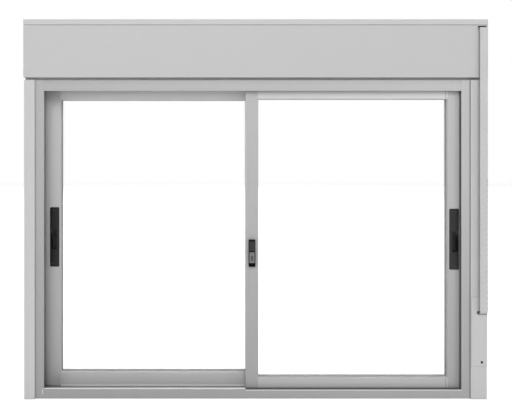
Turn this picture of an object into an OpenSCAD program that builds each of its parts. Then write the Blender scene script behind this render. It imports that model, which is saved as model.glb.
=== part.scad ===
// Sliding window with two sashes and a roller shutter box over it, in millimetres.
// X runs to the right as seen from the room, Y runs outwards, Z runs up.
// The origin lies on the underside of the sill, in the middle of the unit's width
// and of the frame's depth. The shutter is rolled up into its box.

/* [Overall] */
// Width over the side columns and the box
unit_w = 1200; // [800:10:2000]
// Height from the underside of the sill to the top of the box
unit_h = 984; // [700:2:1800]
// Height of the shutter box
box_h = 150; // [140:1:200]
// Depth of the shutter box, front to back
box_d = 160; // [152:1:220]
// How far the box stands in front of the frame's room face
box_proud = 8; // [5:0.5:14]
// Width of the plain column on the left
left_column_w = 28; // [20:1:60]
// Width of the column on the right, which holds the strap winder
right_column_w = 42; // [38:1:70]
// How far the columns stand in front of the frame's room face
column_proud = 4; // [1:0.5:5]
// Height of the shadow groove between the frame and the box
groove_h = 6; // [4:0.5:12]

/* [Frame] */
// Visible width of each jamb
jamb_w = 22.5; // [20:0.5:24]
// Visible height of the head
head_w = 28; // [26:0.5:36]
// Visible height of the sill
sill_w = 23.5; // [21:0.5:32]
// Depth of the hollow flange along the room face
flange_d = 12; // [9:0.5:16]
// Height of the cells under the floor of the tracks
floor_h = 6; // [5:0.5:8]
// Wall of the frame profiles
frame_wall = 1.6; // [1.2:0.1:2]
// Height of the lip at the edge of the room face
face_lip = 3; // [2:0.5:4]
// Height of the sill's outer wall, low so that water runs off
sill_back_h = 15; // [10:0.5:20]
// Height of each track above the underside of the sill
track_h = 16.5; // [14:0.5:18]
// Thickness of each track
track_t = 2; // [1.5:0.1:2.4]
// Diameter of the round bead on top of each track
track_bead = 3.6; // [3:0.1:4.4]
// Distance between the two tracks
track_pitch = 32; // [29:0.5:40]
// Gap between the room-side flange and the front sash
front_gap = 1; // [0.6:0.1:2]
// Gap between the rear sash and the outer lip
rear_gap = 2; // [1:0.1:4]
// Wall of the side columns
column_wall = 1.5; // [1.2:0.1:2.5]

/* [Sashes] */
// Depth of each sash
sash_d = 23; // [21:0.5:26]
// Width of the outer stiles
stile_w = 41; // [38:0.5:50]
// Width of the meeting stiles
meeting_w = 32.5; // [30:0.5:40]
// How far the two sashes overlap in the middle
sash_overlap = 35; // [33:0.5:42]
// Height of the bottom rails
bottom_rail_w = 36; // [34:0.5:50]
// Height of the top rails
top_rail_w = 30; // [29:0.5:40]
// Wall of the sash profiles
sash_wall = 1.6; // [1.2:0.1:2]
// Gap between a stile's edge and the floor of the jamb
stile_gap = 5; // [3:0.5:7]
// How far the bottom rail reaches down past the top of its track
track_bite = 4.5; // [3:0.5:5]
// How far the track in the head reaches into the top rail
head_bite = 5; // [4:0.5:5.5]
// Gap above a sash in the head, so that the sash lifts off its track
top_gap = 11.5; // [7:0.5:12]
// Depth of the groove under the bottom rail, which holds the rollers
roller_groove = 18; // [17:0.5:20]
// Depth of the groove in the top rail and in the outer stiles
edge_groove = 11; // [10:0.5:12]

/* [Glazing] */
// Thickness of one pane
pane_t = 4; // [3:0.5:5]
// Space between the two panes
pane_space = 6; // [4:0.5:8]
// Depth of the groove that holds the glass
glass_bite = 11; // [10:0.5:14]
// Gap between the edge of the glass and the bottom of its groove
glass_gap = 2.5; // [2:0.5:4]
// Leg of the sash on each side of the glass
glass_leg = 2; // [1.6:0.1:2.4]
// Height of the spacer bar between the panes
spacer_h = 6; // [5:0.5:7]

/* [Pulls and latch] */
// Width of each recessed pull
pull_w = 25; // [22:0.5:26]
// Distance from the pull to the stile's glass-side edge
pull_in = 4; // [3:0.5:6]
// Height of each recessed pull
pull_h = 160; // [120:5:200]
// Height of the middle of the pulls above the sill's underside
pull_z = 412; // [250:5:500]
// How far the pull's plate stands on the stile
pull_plate_t = 1.6; // [1:0.1:3]
// Width of the finger pocket
pocket_w = 15.5; // [14:0.5:15.5]
// Distance from the pocket to the outer edge of the plate
pocket_out = 1; // [0.8:0.1:2]
// Height of the finger pocket
pocket_h = 66; // [50:2:90]
// Depth of the finger pocket below the plate's face
pocket_d = 12; // [8:0.5:15]
// Distance from the bottom of the plate to the bottom of the pocket
pocket_up = 40; // [30:1:45]
// Width of the latch on the meeting stile
latch_w = 17.5; // [16:0.5:20]
// Height of the latch
latch_h = 70; // [60:1:90]
// How far the latch stands on the stile
latch_t = 9; // [7:0.5:12]
// Height of the middle of the latch above the sill's underside
latch_z = 376.5; // [300:0.5:450]

/* [Shutter] */
// Height that one slat adds to the curtain
slat_pitch = 37; // [34:0.5:40]
// Thickness of a slat
slat_t = 7.5; // [6.5:0.5:8.5]
// Number of slats wound on the axle
wound_slats = 18; // [12:1:19]
// Distance across the flats of the eight-sided axle
axle_w = 40; // [36:1:44]
// How far the axle lies in front of the slot that the curtain leaves through
axle_set = 13.1; // [11:0.1:16]
// Wall of the axle tube
axle_wall = 1; // [0.8:0.1:2]
// Depth of the shutter guides, front to back
guide_d = 27; // [24:0.5:32]
// Depth of the pocket in which the slats' ends run
guide_pocket = 28; // [24:0.5:34]
// Width of the pocket, front to back
guide_slot = 12; // [11:0.5:14]
// Wall of the guides
guide_wall = 1.5; // [1.2:0.1:2]
// Width of the left guide outside its pocket
left_guide_side = 12; // [8:0.5:20]
// Width of the right guide outside its pocket, beside the strap
right_guide_side = 27; // [25:0.5:34]
// Gap between a slat's end and the bottom of its pocket
slat_end_gap = 3; // [2:0.5:5]
// Thickness of the box's panels
panel_t = 1.5; // [1:0.1:2.5]
// Thickness of the box's end caps
cap_t = 2; // [1.5:0.5:2.5]
// Height of the fixed strip above the removable front cover
top_strip_h = 14; // [10:0.5:20]

/* [Strap and winder] */
// Width of the strap
strap_w = 20; // [18:1:20]
// Thickness of the strap
strap_t = 1.4; // [1:0.1:1.6]
// Distance from the right end of the unit to the middle of the strap
strap_in = 14.5; // [14.5:0.5:15.5]
// How far the strap hangs in front of the box
strap_off = 7; // [5:0.5:10]
// Distance from the top of the box to the upper strap slot
upper_slot_down = 21.5; // [18:0.5:24]
// Height of the lower strap slot above the sill's underside
lower_slot_z = 225; // [200:5:300]
// Height of the bottom edge of the winder's cover plate
winder_z = 87; // [60:1:100]
// Height of the winder's cover plate
winder_h = 178; // [170:1:220]
// Thickness of the winder's cover plate
winder_plate_t = 1.6; // [1.2:0.1:3]
// Radius of the strap coiled in the winder
winder_r = 29; // [24:0.5:30]

/* [Hidden] */
$fn = 48;

// Small overshoot of a cut past the face that it opens
over = 0.5;
// Gap left between pieces that are pushed together
fit = 0.2;

// Depth of the frame and its faces front and back
frame_d = flange_d + front_gap + track_pitch + sash_d + rear_gap + frame_wall;
frame_y0 = -frame_d / 2;
frame_y1 = frame_d / 2;
column_y0 = frame_y0 - column_proud;
column_r = 1.2;
box_y0 = frame_y0 - box_proud;
box_y1 = box_y0 + box_d;

// Widths and heights of the parts of the unit
unit_x0 = -unit_w / 2;
unit_x1 = unit_w / 2;
frame_x0 = unit_x0 + left_column_w;
frame_x1 = unit_x1 - right_column_w;
frame_mid = (frame_x0 + frame_x1) / 2;
box_z0 = unit_h - box_h;
frame_h = box_z0 - groove_h;

// Water slots in the sill's outer wall
drain_in = 150;
drain_l = 30;
drain_h = 4;

// Seals on the flange: their depth, and how far they lie behind the edge of its lip
seal_d = 6;
seal_back = 0.6;

// Places of the sashes and tracks across the frame's depth, from its room face
front_sash_u = flange_d + front_gap;
rear_sash_u = front_sash_u + track_pitch;
front_track_u = front_sash_u + sash_d / 2;
rear_track_u = front_track_u + track_pitch;
divider_u = (front_track_u + rear_track_u) / 2;
front_sash_y = frame_y0 + front_sash_u;
rear_sash_y = frame_y0 + rear_sash_u;

// Sash outlines: the left sash runs on the rear track, the right one on the front track
sash_z0 = track_h - track_bite;
sash_z1 = frame_h - floor_h - top_gap;
sash_h = sash_z1 - sash_z0;
left_sash_x0 = frame_x0 + floor_h + stile_gap;
left_sash_x1 = frame_mid + sash_overlap / 2;
right_sash_x0 = frame_mid - sash_overlap / 2;
right_sash_x1 = frame_x1 - floor_h - stile_gap;
sash_w = left_sash_x1 - left_sash_x0;
head_track_h = frame_h - sash_z1 + head_bite;

// Glazing
unit_glass_t = 2 * pane_t + pane_space;
gasket_t = (sash_d - 2 * glass_leg - unit_glass_t) / 2;
gasket_h = glass_bite - glass_gap;
field_w = sash_w - stile_w - meeting_w;
field_h = sash_h - bottom_rail_w - top_rail_w;
track_play = 1;
chamber_plug_t = 4;

// Pull and pocket
pull_r = 3;
cup_wall = 1;
cup_d = pocket_d - pull_plate_t + cup_wall;
pull_side = stile_w - pull_w - pull_in;
pocket_side = pull_side + pocket_out;

// Rollers under the bottom rails
roller_r = 6;
roller_waist = 4.5;
roller_t = 8;
roller_pin = 2;
roller_in = 60;
roller_clear = 0.15;
carrier_l = 44;
carrier_wall = 2;
roller_z = track_h + roller_waist + roller_clear;

// Interlock between the two meeting stiles
interlock_space = track_pitch - sash_d;
hook_t = 1.6;
hook_l = 7;
hook_reach = interlock_space - 2;
hook_step = 5;

// Shutter guides and curtain
guide_y = frame_y1;
slot_y = guide_y + guide_d / 2;
left_pocket_x = unit_x0 + left_guide_side;
right_pocket_x = unit_x1 - right_guide_side;
curtain_x0 = left_pocket_x + slat_end_gap;
curtain_x1 = right_pocket_x - slat_end_gap;
roll_y = slot_y - axle_set;
roll_z = box_z0 + box_h / 2;
axle_corner = axle_w / 2 / cos(22.5);
first_r = axle_corner + slat_t;
turn_gain = slat_t + 4;
slat_bow = 3;

// Strap route
strap_x = unit_x1 - strap_in;
upper_slot_z = unit_h - upper_slot_down;
pulley_r = upper_slot_z - roll_z - strap_t;
slot_play = 1;
slot_h = 4;
liner_t = 1;
liner_d = 8;

// The parts of the frame

// Section of a frame profile: u runs outwards from the room face, v runs inwards
// from the seat. face is the height of the room face, back that of the outer wall
// and track that of the two tracks, or 0 for none.
module frame_section(face, back, track) {
    step = (frame_d - flange_d) / 3;
    difference() {
        union() {
            square([frame_d, floor_h]);
            square([flange_d, face - face_lip]);
            square([frame_wall, face]);
            translate([frame_d - frame_wall, 0])
                square([frame_wall, back]);
            translate([divider_u - frame_wall / 2, 0])
                square([frame_wall, floor_h + 6]);
            if (track > 0)
                for (u = [front_track_u, rear_track_u])
                    translate([u, 0])
                        track_section(track);
        }
        translate([frame_wall, frame_wall])
            square([flange_d - 2 * frame_wall, face - face_lip - 2 * frame_wall]);
        for (i = [0:2])
            translate([flange_d + i * step, frame_wall])
                square([step - frame_wall, floor_h - 2 * frame_wall]);
    }
}

module track_section(track) {
    translate([-track_t / 2, floor_h / 2])
        square([track_t, track - floor_h / 2 - track_bead / 2]);
    translate([0, track - track_bead / 2])
        circle(d = track_bead);
}

// Length of profile laid along X with its seat downwards, from x0 to x1
module along_x(x0, x1, y, z) {
    translate([x0, y, z])
        rotate([90, 0, 90])
            linear_extrude(x1 - x0)
                children();
}

// What a jamb takes away from the ends of the sill and the head
module jamb_room() {
    translate([frame_x0 - over, frame_y0 - over, -over])
        cube([jamb_w + over + fit, flange_d + over + fit, frame_h + 2 * over]);
    translate([frame_x1 - jamb_w - fit, frame_y0 - over, -over])
        cube([jamb_w + over + fit, flange_d + over + fit, frame_h + 2 * over]);
    translate([frame_x0 - over, frame_y0 + divider_u - frame_wall / 2 - fit, -over])
        cube([floor_h + 6 + over + fit, frame_wall + 2 * fit, frame_h + 2 * over]);
    translate([frame_x1 - floor_h - 6 - fit, frame_y0 + divider_u - frame_wall / 2 - fit, -over])
        cube([floor_h + 6 + over + fit, frame_wall + 2 * fit, frame_h + 2 * over]);
    translate([frame_x0 - over, frame_y1 - frame_wall - fit, -over])
        cube([jamb_w + over + fit, frame_wall + over + fit, frame_h + 2 * over]);
    translate([frame_x1 - jamb_w - fit, frame_y1 - frame_wall - fit, -over])
        cube([jamb_w + over + fit, frame_wall + over + fit, frame_h + 2 * over]);
}

// Rubber strips in the step of the room-side flange, where the closed front sash meets it
module flange_seals() {
    y = frame_y0 + flange_d - seal_d;
    seal_h = face_lip - seal_back;
    color("black") {
        translate([right_sash_x0, y, sill_w - face_lip])
            cube([frame_x1 - jamb_w - right_sash_x0, seal_d, seal_h]);
        translate([right_sash_x0, y, frame_h - head_w + seal_back])
            cube([frame_x1 - jamb_w - right_sash_x0, seal_d, seal_h]);
        translate([frame_x1 - jamb_w + seal_back, y, sill_w])
            cube([seal_h, seal_d, frame_h - head_w - sill_w]);
    }
}

module sill() {
    color("silver")
        difference() {
            along_x(frame_x0 + floor_h + fit, frame_x1 - floor_h - fit, frame_y0, 0)
                frame_section(sill_w, sill_back_h, track_h);
            jamb_room();
            for (x = [frame_x0 + drain_in, frame_mid - drain_l / 2, frame_x1 - drain_in - drain_l])
                translate([x, frame_y1 - frame_wall - over, floor_h])
                    cube([drain_l, frame_wall + 2 * over, drain_h]);
        }
}

module head() {
    color("silver")
        difference() {
            translate([0, 0, frame_h])
                mirror([0, 0, 1])
                    along_x(frame_x0 + floor_h + fit, frame_x1 - floor_h - fit, frame_y0, 0)
                        frame_section(head_w, head_w, head_track_h);
            jamb_room();
        }
}

module left_jamb() {
    color("silver")
        translate([frame_x0, frame_y0, 0])
            mirror([1, -1, 0])
                linear_extrude(frame_h)
                    frame_section(jamb_w, jamb_w, 0);
}

module right_jamb() {
    color("silver")
        translate([frame_x1, frame_y0, 0])
            rotate([0, 0, 90])
                linear_extrude(frame_h)
                    frame_section(jamb_w, jamb_w, 0);
}

// Rectangular tube whose edges along the room face are rounded
module column_tube(w) {
    linear_extrude(frame_h)
        difference() {
            union() {
                translate([column_r, 0])
                    square([w - 2 * column_r, frame_d + column_proud]);
                translate([0, column_r])
                    square([w, frame_d + column_proud - column_r]);
                for (x = [column_r, w - column_r])
                    translate([x, column_r])
                        circle(r = column_r);
            }
            translate([column_wall, column_wall])
                square([w - 2 * column_wall, frame_d + column_proud - 2 * column_wall]);
        }
}

module left_column() {
    color("gainsboro")
        translate([unit_x0, column_y0, 0])
            column_tube(left_column_w);
}

module right_column() {
    color("gainsboro")
        difference() {
            translate([frame_x1, column_y0, 0])
                column_tube(right_column_w);
            translate([winder_x0 - fit, column_y0 - over, winder_z + winder_rim - fit])
                cube([winder_x1 - winder_x0 + 2 * fit, column_wall + 2 * over, winder_case_h + 2 * fit]);
        }
}

// The parts of the sashes

// Section of a sash profile: u runs outwards from its room face, v from its free
// edge to the glass. groove is the depth of the groove in the free edge.
module sash_section(w, groove) {
    chamber_v = groove > 0 ? groove + sash_wall : sash_wall;
    difference() {
        square([sash_d, w]);
        if (groove > 0)
            translate([sash_wall, -over])
                square([sash_d - 2 * sash_wall, groove + over]);
        translate([sash_wall, chamber_v])
            square([sash_d - 2 * sash_wall, w - glass_bite - sash_wall - chamber_v]);
        translate([glass_leg, w - glass_bite])
            square([sash_d - 2 * glass_leg, glass_bite + over]);
    }
}

// What the tracks take away from the ends of a stile, with room to lift the sash
module track_room(w) {
    room_w = track_bead + 2 * track_play;
    top_h = head_bite + track_bite + track_play;
    translate([-over, (sash_d - room_w) / 2, sash_z0 - over])
        cube([w + 2 * over, room_w, track_bite + track_play + over]);
    translate([-over, (sash_d - room_w) / 2, sash_z1 - top_h])
        cube([w + 2 * over, room_w, top_h + over]);
}

// Opening in the room face of a stile for the cup of a pull
module cup_room(x) {
    translate([x + pocket_side - cup_wall - fit, -over, pull_z - pull_h / 2 + pocket_up - cup_wall - fit])
        cube([pocket_w + 2 * cup_wall + 2 * fit, cup_d + fit + over, pocket_h + 2 * cup_wall + 2 * fit]);
}

// Plug that closes the chamber of an outer stile, with its foot at height z
module chamber_plug(z) {
    v = edge_groove + sash_wall / 2;
    translate([v, sash_wall / 2, z])
        cube([stile_w - glass_bite - sash_wall / 2 - v, sash_d - sash_wall, chamber_plug_t]);
}

module outer_stile() {
    difference() {
        translate([0, 0, sash_z0])
            mirror([1, -1, 0])
                linear_extrude(sash_h)
                    sash_section(stile_w, edge_groove);
        cup_room(0);
        track_room(stile_w);
    }
    chamber_plug(sash_z0 + track_bite + track_play);
    chamber_plug(sash_z1 - head_bite - track_bite - track_play - chamber_plug_t);
}

module meeting_stile() {
    difference() {
        translate([0, 0, sash_z0])
            mirror([1, -1, 0])
                linear_extrude(sash_h)
                    sash_section(meeting_w, 0);
        track_room(meeting_w);
    }
}

// Hook of the interlock: it stands on the face y = 0 towards +Y, its lip points to +X
module interlock_hook() {
    translate([0, 0, sash_z0])
        linear_extrude(sash_h) {
            translate([0, -sash_wall / 2])
                square([hook_t, hook_reach + sash_wall / 2]);
            translate([0, hook_reach - hook_t])
                square([hook_l, hook_t]);
        }
}

module left_sash_outer_stile() {
    color("silver")
        translate([left_sash_x0, rear_sash_y, 0])
            outer_stile();
}

module left_sash_meeting_stile() {
    color("silver")
        translate([left_sash_x1, rear_sash_y, 0]) {
            mirror([1, 0, 0])
                meeting_stile();
            translate([hook_step - sash_overlap / 2, 0, 0])
                rotate([0, 0, 180])
                    interlock_hook();
        }
}

module right_sash_outer_stile() {
    color("silver")
        translate([right_sash_x1, front_sash_y, 0])
            mirror([1, 0, 0])
                outer_stile();
}

module right_sash_meeting_stile() {
    color("silver")
        translate([right_sash_x0, front_sash_y, 0]) {
            meeting_stile();
            translate([sash_overlap / 2 - hook_step, sash_d, 0])
                interlock_hook();
        }
}

// A rail from x0 to x1 with its free edge at height z, pointing up or down
module rail(x0, x1, y, z, w, groove) {
    along_x(x0, x1, y, z)
        sash_section(w, groove);
}

module bottom_rail(x0, x1, y) {
    rail(x0, x1, y, sash_z0, bottom_rail_w, roller_groove);
}

module top_rail(x0, x1, y) {
    translate([0, 0, sash_z1])
        mirror([0, 0, 1])
            rail(x0, x1, y, 0, top_rail_w, edge_groove);
}

module left_sash_top_rail() {
    color("silver")
        top_rail(left_sash_x0 + stile_w, left_sash_x1 - meeting_w, rear_sash_y);
}

module left_sash_bottom_rail() {
    color("silver")
        bottom_rail(left_sash_x0 + stile_w, left_sash_x1 - meeting_w, rear_sash_y);
}

module right_sash_top_rail() {
    color("silver")
        top_rail(right_sash_x0 + meeting_w, right_sash_x1 - stile_w, front_sash_y);
}

module right_sash_bottom_rail() {
    color("silver")
        bottom_rail(right_sash_x0 + meeting_w, right_sash_x1 - stile_w, front_sash_y);
}

// The glass

// Slab over the glass field that starts at x, grown by the given edge on each side
module field_slab(x, y, t, edge) {
    translate([x - edge, y, sash_z0 + bottom_rail_w - edge])
        cube([field_w + 2 * edge, t, field_h + 2 * edge]);
}

module field_ring(x, y, t, outer, inner) {
    difference() {
        field_slab(x, y, t, outer);
        field_slab(x, y - over, t + 2 * over, inner);
    }
}

module glass_unit(x, y) {
    glass_y = y + glass_leg + gasket_t;
    field_slab(x, glass_y, pane_t, glass_bite - glass_gap);
    field_slab(x, glass_y + pane_t + pane_space, pane_t, glass_bite - glass_gap);
}

left_field_x = left_sash_x0 + stile_w;
right_field_x = right_sash_x0 + meeting_w;

module left_glass() {
    color("lightblue", 0.4)
        glass_unit(left_field_x, rear_sash_y);
}

module right_glass() {
    color("lightblue", 0.4)
        glass_unit(right_field_x, front_sash_y);
}

module glass_spacers() {
    color("gray")
        for (place = [[left_field_x, rear_sash_y], [right_field_x, front_sash_y]])
            field_ring(place[0], place[1] + glass_leg + gasket_t + pane_t, pane_space,
                glass_bite - glass_gap, glass_bite - glass_gap - spacer_h);
}

module glazing_gaskets() {
    color("dimgray")
        for (place = [[left_field_x, rear_sash_y], [right_field_x, front_sash_y]])
            for (back = [0, 1])
                field_ring(place[0], place[1] + glass_leg + back * (gasket_t + unit_glass_t), gasket_t,
                    glass_bite - glass_gap, 0);
}

// Hardware on the sashes

module rounded_plate(w, h, r, t) {
    rotate([90, 0, 0])
        linear_extrude(t) {
            translate([r, 0])
                square([w - 2 * r, h]);
            translate([0, r])
                square([w, h - 2 * r]);
            for (x = [r, w - r], z = [r, h - r])
                translate([x, z])
                    circle(r);
        }
}

// A recessed pull whose plate lies on the face y = 0 of an outer stile
module recessed_pull() {
    cup_x = pocket_out;
    translate([pull_side, 0, pull_z - pull_h / 2])
        difference() {
            union() {
                rounded_plate(pull_w, pull_h, pull_r, pull_plate_t);
                translate([cup_x - cup_wall, -pull_plate_t / 2, pocket_up - cup_wall])
                    cube([pocket_w + 2 * cup_wall, cup_d + pull_plate_t / 2, pocket_h + 2 * cup_wall]);
            }
            translate([cup_x, -pull_plate_t - over, pocket_up])
                cube([pocket_w, pocket_d + over, pocket_h]);
        }
}

module left_pull() {
    color("dimgray")
        translate([left_sash_x0, rear_sash_y, 0])
            recessed_pull();
}

module right_pull() {
    color("dimgray")
        translate([right_sash_x1, front_sash_y, 0])
            mirror([1, 0, 0])
                recessed_pull();
}

latch_x = right_sash_x0 + (meeting_w - latch_w) / 2;
latch_z0 = latch_z - latch_h / 2;
latch_rim = 2;
latch_floor = 2.5;
latch_foot = 10;
slider_l = 28;
slider_travel = 3;
slider_w = latch_w - 2 * latch_rim - 2 * fit;

module latch_body() {
    grip_z0 = latch_foot + slider_l + slider_travel + 4;
    color("black")
        translate([latch_x, front_sash_y, latch_z0])
            difference() {
                rounded_plate(latch_w, latch_h, 2, latch_t);
                translate([latch_rim, -latch_t - over, latch_foot])
                    cube([latch_w - 2 * latch_rim, latch_t - latch_floor + over, slider_l + slider_travel]);
                translate([-over, -latch_t - over, -over])
                    cube([latch_w + 2 * over, 3 + over, latch_foot - 3 + over]);
                for (i = [0:4])
                    translate([latch_rim, -latch_t - over, grip_z0 + i * 4])
                        cube([latch_w - 2 * latch_rim, 0.9 + over, 1.8]);
            }
}

module latch_slider() {
    slider_t = latch_t - latch_floor - fit;
    color("gray")
        translate([latch_x + latch_rim + fit, front_sash_y - latch_floor - fit, latch_z0 + latch_foot])
            difference() {
                rounded_plate(slider_w, slider_l, 1.5, slider_t);
                translate([slider_w / 2, -slider_t - 1, 5])
                    cylinder(r = 3, h = 14);
            }
}

// Striker on the rear sash, which the latch's bolt drops into
module latch_keeper() {
    color("gray")
        translate([left_sash_x1 - 7, rear_sash_y, latch_z - 22])
            difference() {
                rounded_plate(6, 44, 1, 4);
                translate([1.5, -4 - over, 12])
                    cube([3, 4 + over - 1, 20]);
            }
}

module roller_unit() {
    axis_up = roller_z - sash_z0;
    w = sash_d - 2 * sash_wall - 2 * fit;
    difference() {
        translate([-carrier_l / 2, -w / 2, axis_up - 3])
            cube([carrier_l, w, roller_groove - axis_up + 3]);
        translate([-roller_r - 1.5, -roller_t / 2 - 0.5, axis_up - 3 - over])
            cube([2 * roller_r + 3, roller_t + 1, roller_groove - axis_up + 3 + 2 * over]);
        translate([0, w / 2 + over, axis_up])
            rotate([90, 0, 0])
                cylinder(r = roller_pin, h = w + 2 * over);
    }
    translate([0, w / 2, axis_up])
        rotate([90, 0, 0])
            cylinder(r = roller_pin - fit / 2, h = w);
    translate([0, 0, axis_up])
        rotate([90, 0, 0])
            rotate_extrude()
                difference() {
                    translate([roller_pin, -roller_t / 2])
                        square([roller_r - roller_pin, roller_t]);
                    translate([roller_r + track_bead / 2 - (roller_r - roller_waist), 0])
                        circle(d = track_bead);
                }
}

module sash_rollers() {
    color("whitesmoke")
        for (place = [
            [left_sash_x0 + stile_w + roller_in, rear_sash_y],
            [left_sash_x1 - meeting_w - roller_in, rear_sash_y],
            [right_sash_x0 + meeting_w + roller_in, front_sash_y],
            [right_sash_x1 - stile_w - roller_in, front_sash_y]
        ])
            translate([place[0], place[1] + sash_d / 2, sash_z0])
                roller_unit();
}

brush_w = 5;

// Pile strips in the jambs, against the outer wall of each outer stile
module sash_brushes() {
    color("darkgray")
        for (side = [[frame_x0 + floor_h, rear_sash_u], [frame_x1 - floor_h - stile_gap, front_sash_u]])
            translate([side[0], frame_y0 + side[1] + sash_d - brush_w, sill_w])
                cube([stile_gap, brush_w, frame_h - sill_w - head_w]);
}

// The shutter box

inner_x0 = unit_x0 + cap_t;
inner_x1 = unit_x1 - cap_t;
strip_seam = 1;
groove_r = 5;
panel_groove = 0.7;

module box_front_cover() {
    z1 = unit_h - top_strip_h - strip_seam;
    color("gainsboro")
        difference() {
            union() {
                translate([inner_x0, box_y0, box_z0])
                    cube([inner_x1 - inner_x0, panel_t, z1 - box_z0]);
                translate([inner_x0, box_y0, box_z0])
                    cube([inner_x1 - inner_x0, box_proud, panel_t]);
                translate([inner_x0, box_y0, z1 - panel_t])
                    cube([inner_x1 - inner_x0, 5, panel_t]);
            }
            translate([strap_x - strap_w / 2 - slot_play, box_y0 - over, upper_slot_z - slot_h / 2])
                cube([strap_w + 2 * slot_play, panel_t + 2 * over, slot_h]);
        }
}

module box_top_panel() {
    color("gainsboro") {
        translate([inner_x0, box_y0, unit_h - panel_t])
            cube([inner_x1 - inner_x0, box_d, panel_t]);
        translate([inner_x0, box_y0, unit_h - top_strip_h])
            cube([inner_x1 - inner_x0, panel_t, top_strip_h]);
    }
}

// Plain sheet with two shallow stiffening grooves along its outer face
module box_rear_panel() {
    color("gainsboro")
        difference() {
            translate([inner_x0, box_y1 - panel_t, box_z0])
                cube([inner_x1 - inner_x0, panel_t, box_h - panel_t]);
            for (z = [box_z0 + box_h / 3, unit_h - box_h / 3])
                translate([inner_x0 - over, box_y1 + groove_r - panel_groove, z])
                    rotate([0, 90, 0])
                        cylinder(r = groove_r, h = inner_x1 - inner_x0 + 2 * over);
        }
}

exit_w = guide_slot + 4;
adapter_in = 6;
soffit_lip = 6;

// Adapter tube on the head and the floor of the box in front of the shutter's way out
module box_base() {
    color("gainsboro")
        difference() {
            union() {
                translate([inner_x0, frame_y0, box_z0])
                    cube([inner_x1 - inner_x0, slot_y - exit_w / 2 - frame_y0, panel_t]);
                translate([unit_x0, frame_y0 + adapter_in, frame_h])
                    cube([unit_w, frame_d - adapter_in, groove_h]);
            }
            translate([unit_x0 - over, frame_y0 + adapter_in + panel_t, frame_h + panel_t])
                cube([unit_w + 2 * over, frame_d - adapter_in - 2 * panel_t, groove_h - 2 * panel_t]);
        }
}

// Floor of the box behind the shutter's way out, with a drip lip along the slot
module box_soffit() {
    y0 = slot_y + exit_w / 2;
    color("gainsboro") {
        translate([inner_x0, y0, box_z0])
            cube([inner_x1 - inner_x0, box_y1 - panel_t - y0, panel_t]);
        translate([inner_x0, y0, box_z0])
            cube([inner_x1 - inner_x0, panel_t, soffit_lip]);
    }
}

module end_cap(x) {
    translate([x, box_y0, box_z0])
        cube([cap_t, box_d, box_h]);
}

module left_end_cap() {
    color("gainsboro")
        end_cap(unit_x0);
}

module right_end_cap() {
    color("gainsboro")
        end_cap(inner_x1);
}

// The shutter inside the box

bearing_t = 8;
bearing_r = 16;
pin_r = 6;
axle_x0 = inner_x0 + bearing_t + 4;
axle_x1 = strap_x - strap_w / 2 - 3;

module roll_cylinder(x0, x1, r) {
    translate([x0, roll_y, roll_z])
        rotate([0, 90, 0])
            cylinder(r = r, h = x1 - x0);
}

module shutter_axle() {
    color("lightgray") {
        translate([axle_x0, roll_y, roll_z])
            rotate([90, 0, 90])
                linear_extrude(axle_x1 - axle_x0)
                    difference() {
                        rotate(22.5)
                            circle(r = axle_corner, $fn = 8);
                        rotate(22.5)
                            circle(r = axle_corner - axle_wall / cos(22.5), $fn = 8);
                    }
    }
}

// Spigots and bearings that carry the axle at the end caps
module axle_bearings() {
    plug_l = 20;
    plug_r = axle_w / 2 - axle_wall - fit;
    color("dimgray") {
        roll_cylinder(inner_x0 + fit, inner_x0 + bearing_t, bearing_r);
        roll_cylinder(inner_x0 + bearing_t - 1, axle_x0 + plug_l, pin_r);
        roll_cylinder(axle_x0 + fit, axle_x0 + plug_l, plug_r);
        roll_cylinder(axle_x1 - plug_l, axle_x1 - fit, plug_r);
        roll_cylinder(axle_x1 - plug_l, inner_x1 - fit, pin_r);
    }
}

module strap_pulley() {
    x0 = strap_x - strap_w / 2;
    x1 = strap_x + strap_w / 2;
    color("whitesmoke")
        difference() {
            union() {
                roll_cylinder(x0 - 1, x1, pulley_r);
                roll_cylinder(x0 - 2, x0 - 0.6, pulley_r + 8);
            }
            roll_cylinder(x0 - 3, x1 + 1, pin_r + fit);
        }
}

// Angle that one slat takes on the roll at radius r
function slat_turn(r) = 2 * asin(min(0.99, slat_pitch / 2 / r));

// Angles round the roll at which the slats meet, wound outwards from the axle
function wound(n, a, list = []) =
    n == 0 ? list : wound(n - 1, a + slat_turn(first_r + turn_gain * a / 360), concat(list, [a]));

// Angle below the horizontal at which the curtain leaves the roll
leave_angle = -10;
joint_angles = wound(wound_slats + 1, 0);
last_angle = joint_angles[wound_slats];

// Slats' meeting points in the plane across the box: the last one lies where the
// curtain leaves the roll
function roll_point(a) = let (r = first_r + turn_gain * a / 360, turn = last_angle - a + leave_angle)
    [roll_y + r * cos(turn), roll_z + r * sin(turn)];

hinge_r = 2.2;
neck_t = 1.6;
neck_l = 5.6;

// Section of one slat from the point 0 to the point slat_pitch on its u axis: a
// bowed body, a neck at each end and the bead of the hinge at the start
module slat_section() {
    bow_r = (slat_pitch * slat_pitch / 4 + slat_bow * slat_bow) / 2 / slat_bow;
    intersection() {
        translate([slat_pitch / 2, slat_bow - bow_r])
            difference() {
                circle(r = bow_r + slat_t / 2, $fn = 96);
                circle(r = bow_r - slat_t / 2, $fn = 96);
            }
        translate([neck_l, -slat_pitch])
            square([slat_pitch - 2 * neck_l, 2 * slat_pitch]);
    }
    translate([0, -neck_t / 2])
        square([slat_pitch, neck_t]);
    circle(r = hinge_r);
}

module slat_between(a, b) {
    translate([curtain_x0, a[0], a[1]])
        rotate([90, 0, 90])
            linear_extrude(curtain_x1 - curtain_x0)
                rotate(atan2(b[1] - a[1], b[0] - a[0]))
                    slat_section();
}

end_slat_h = 50;
end_slat_t = 9;
hang_reach = 0.92 * slat_pitch;

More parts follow.
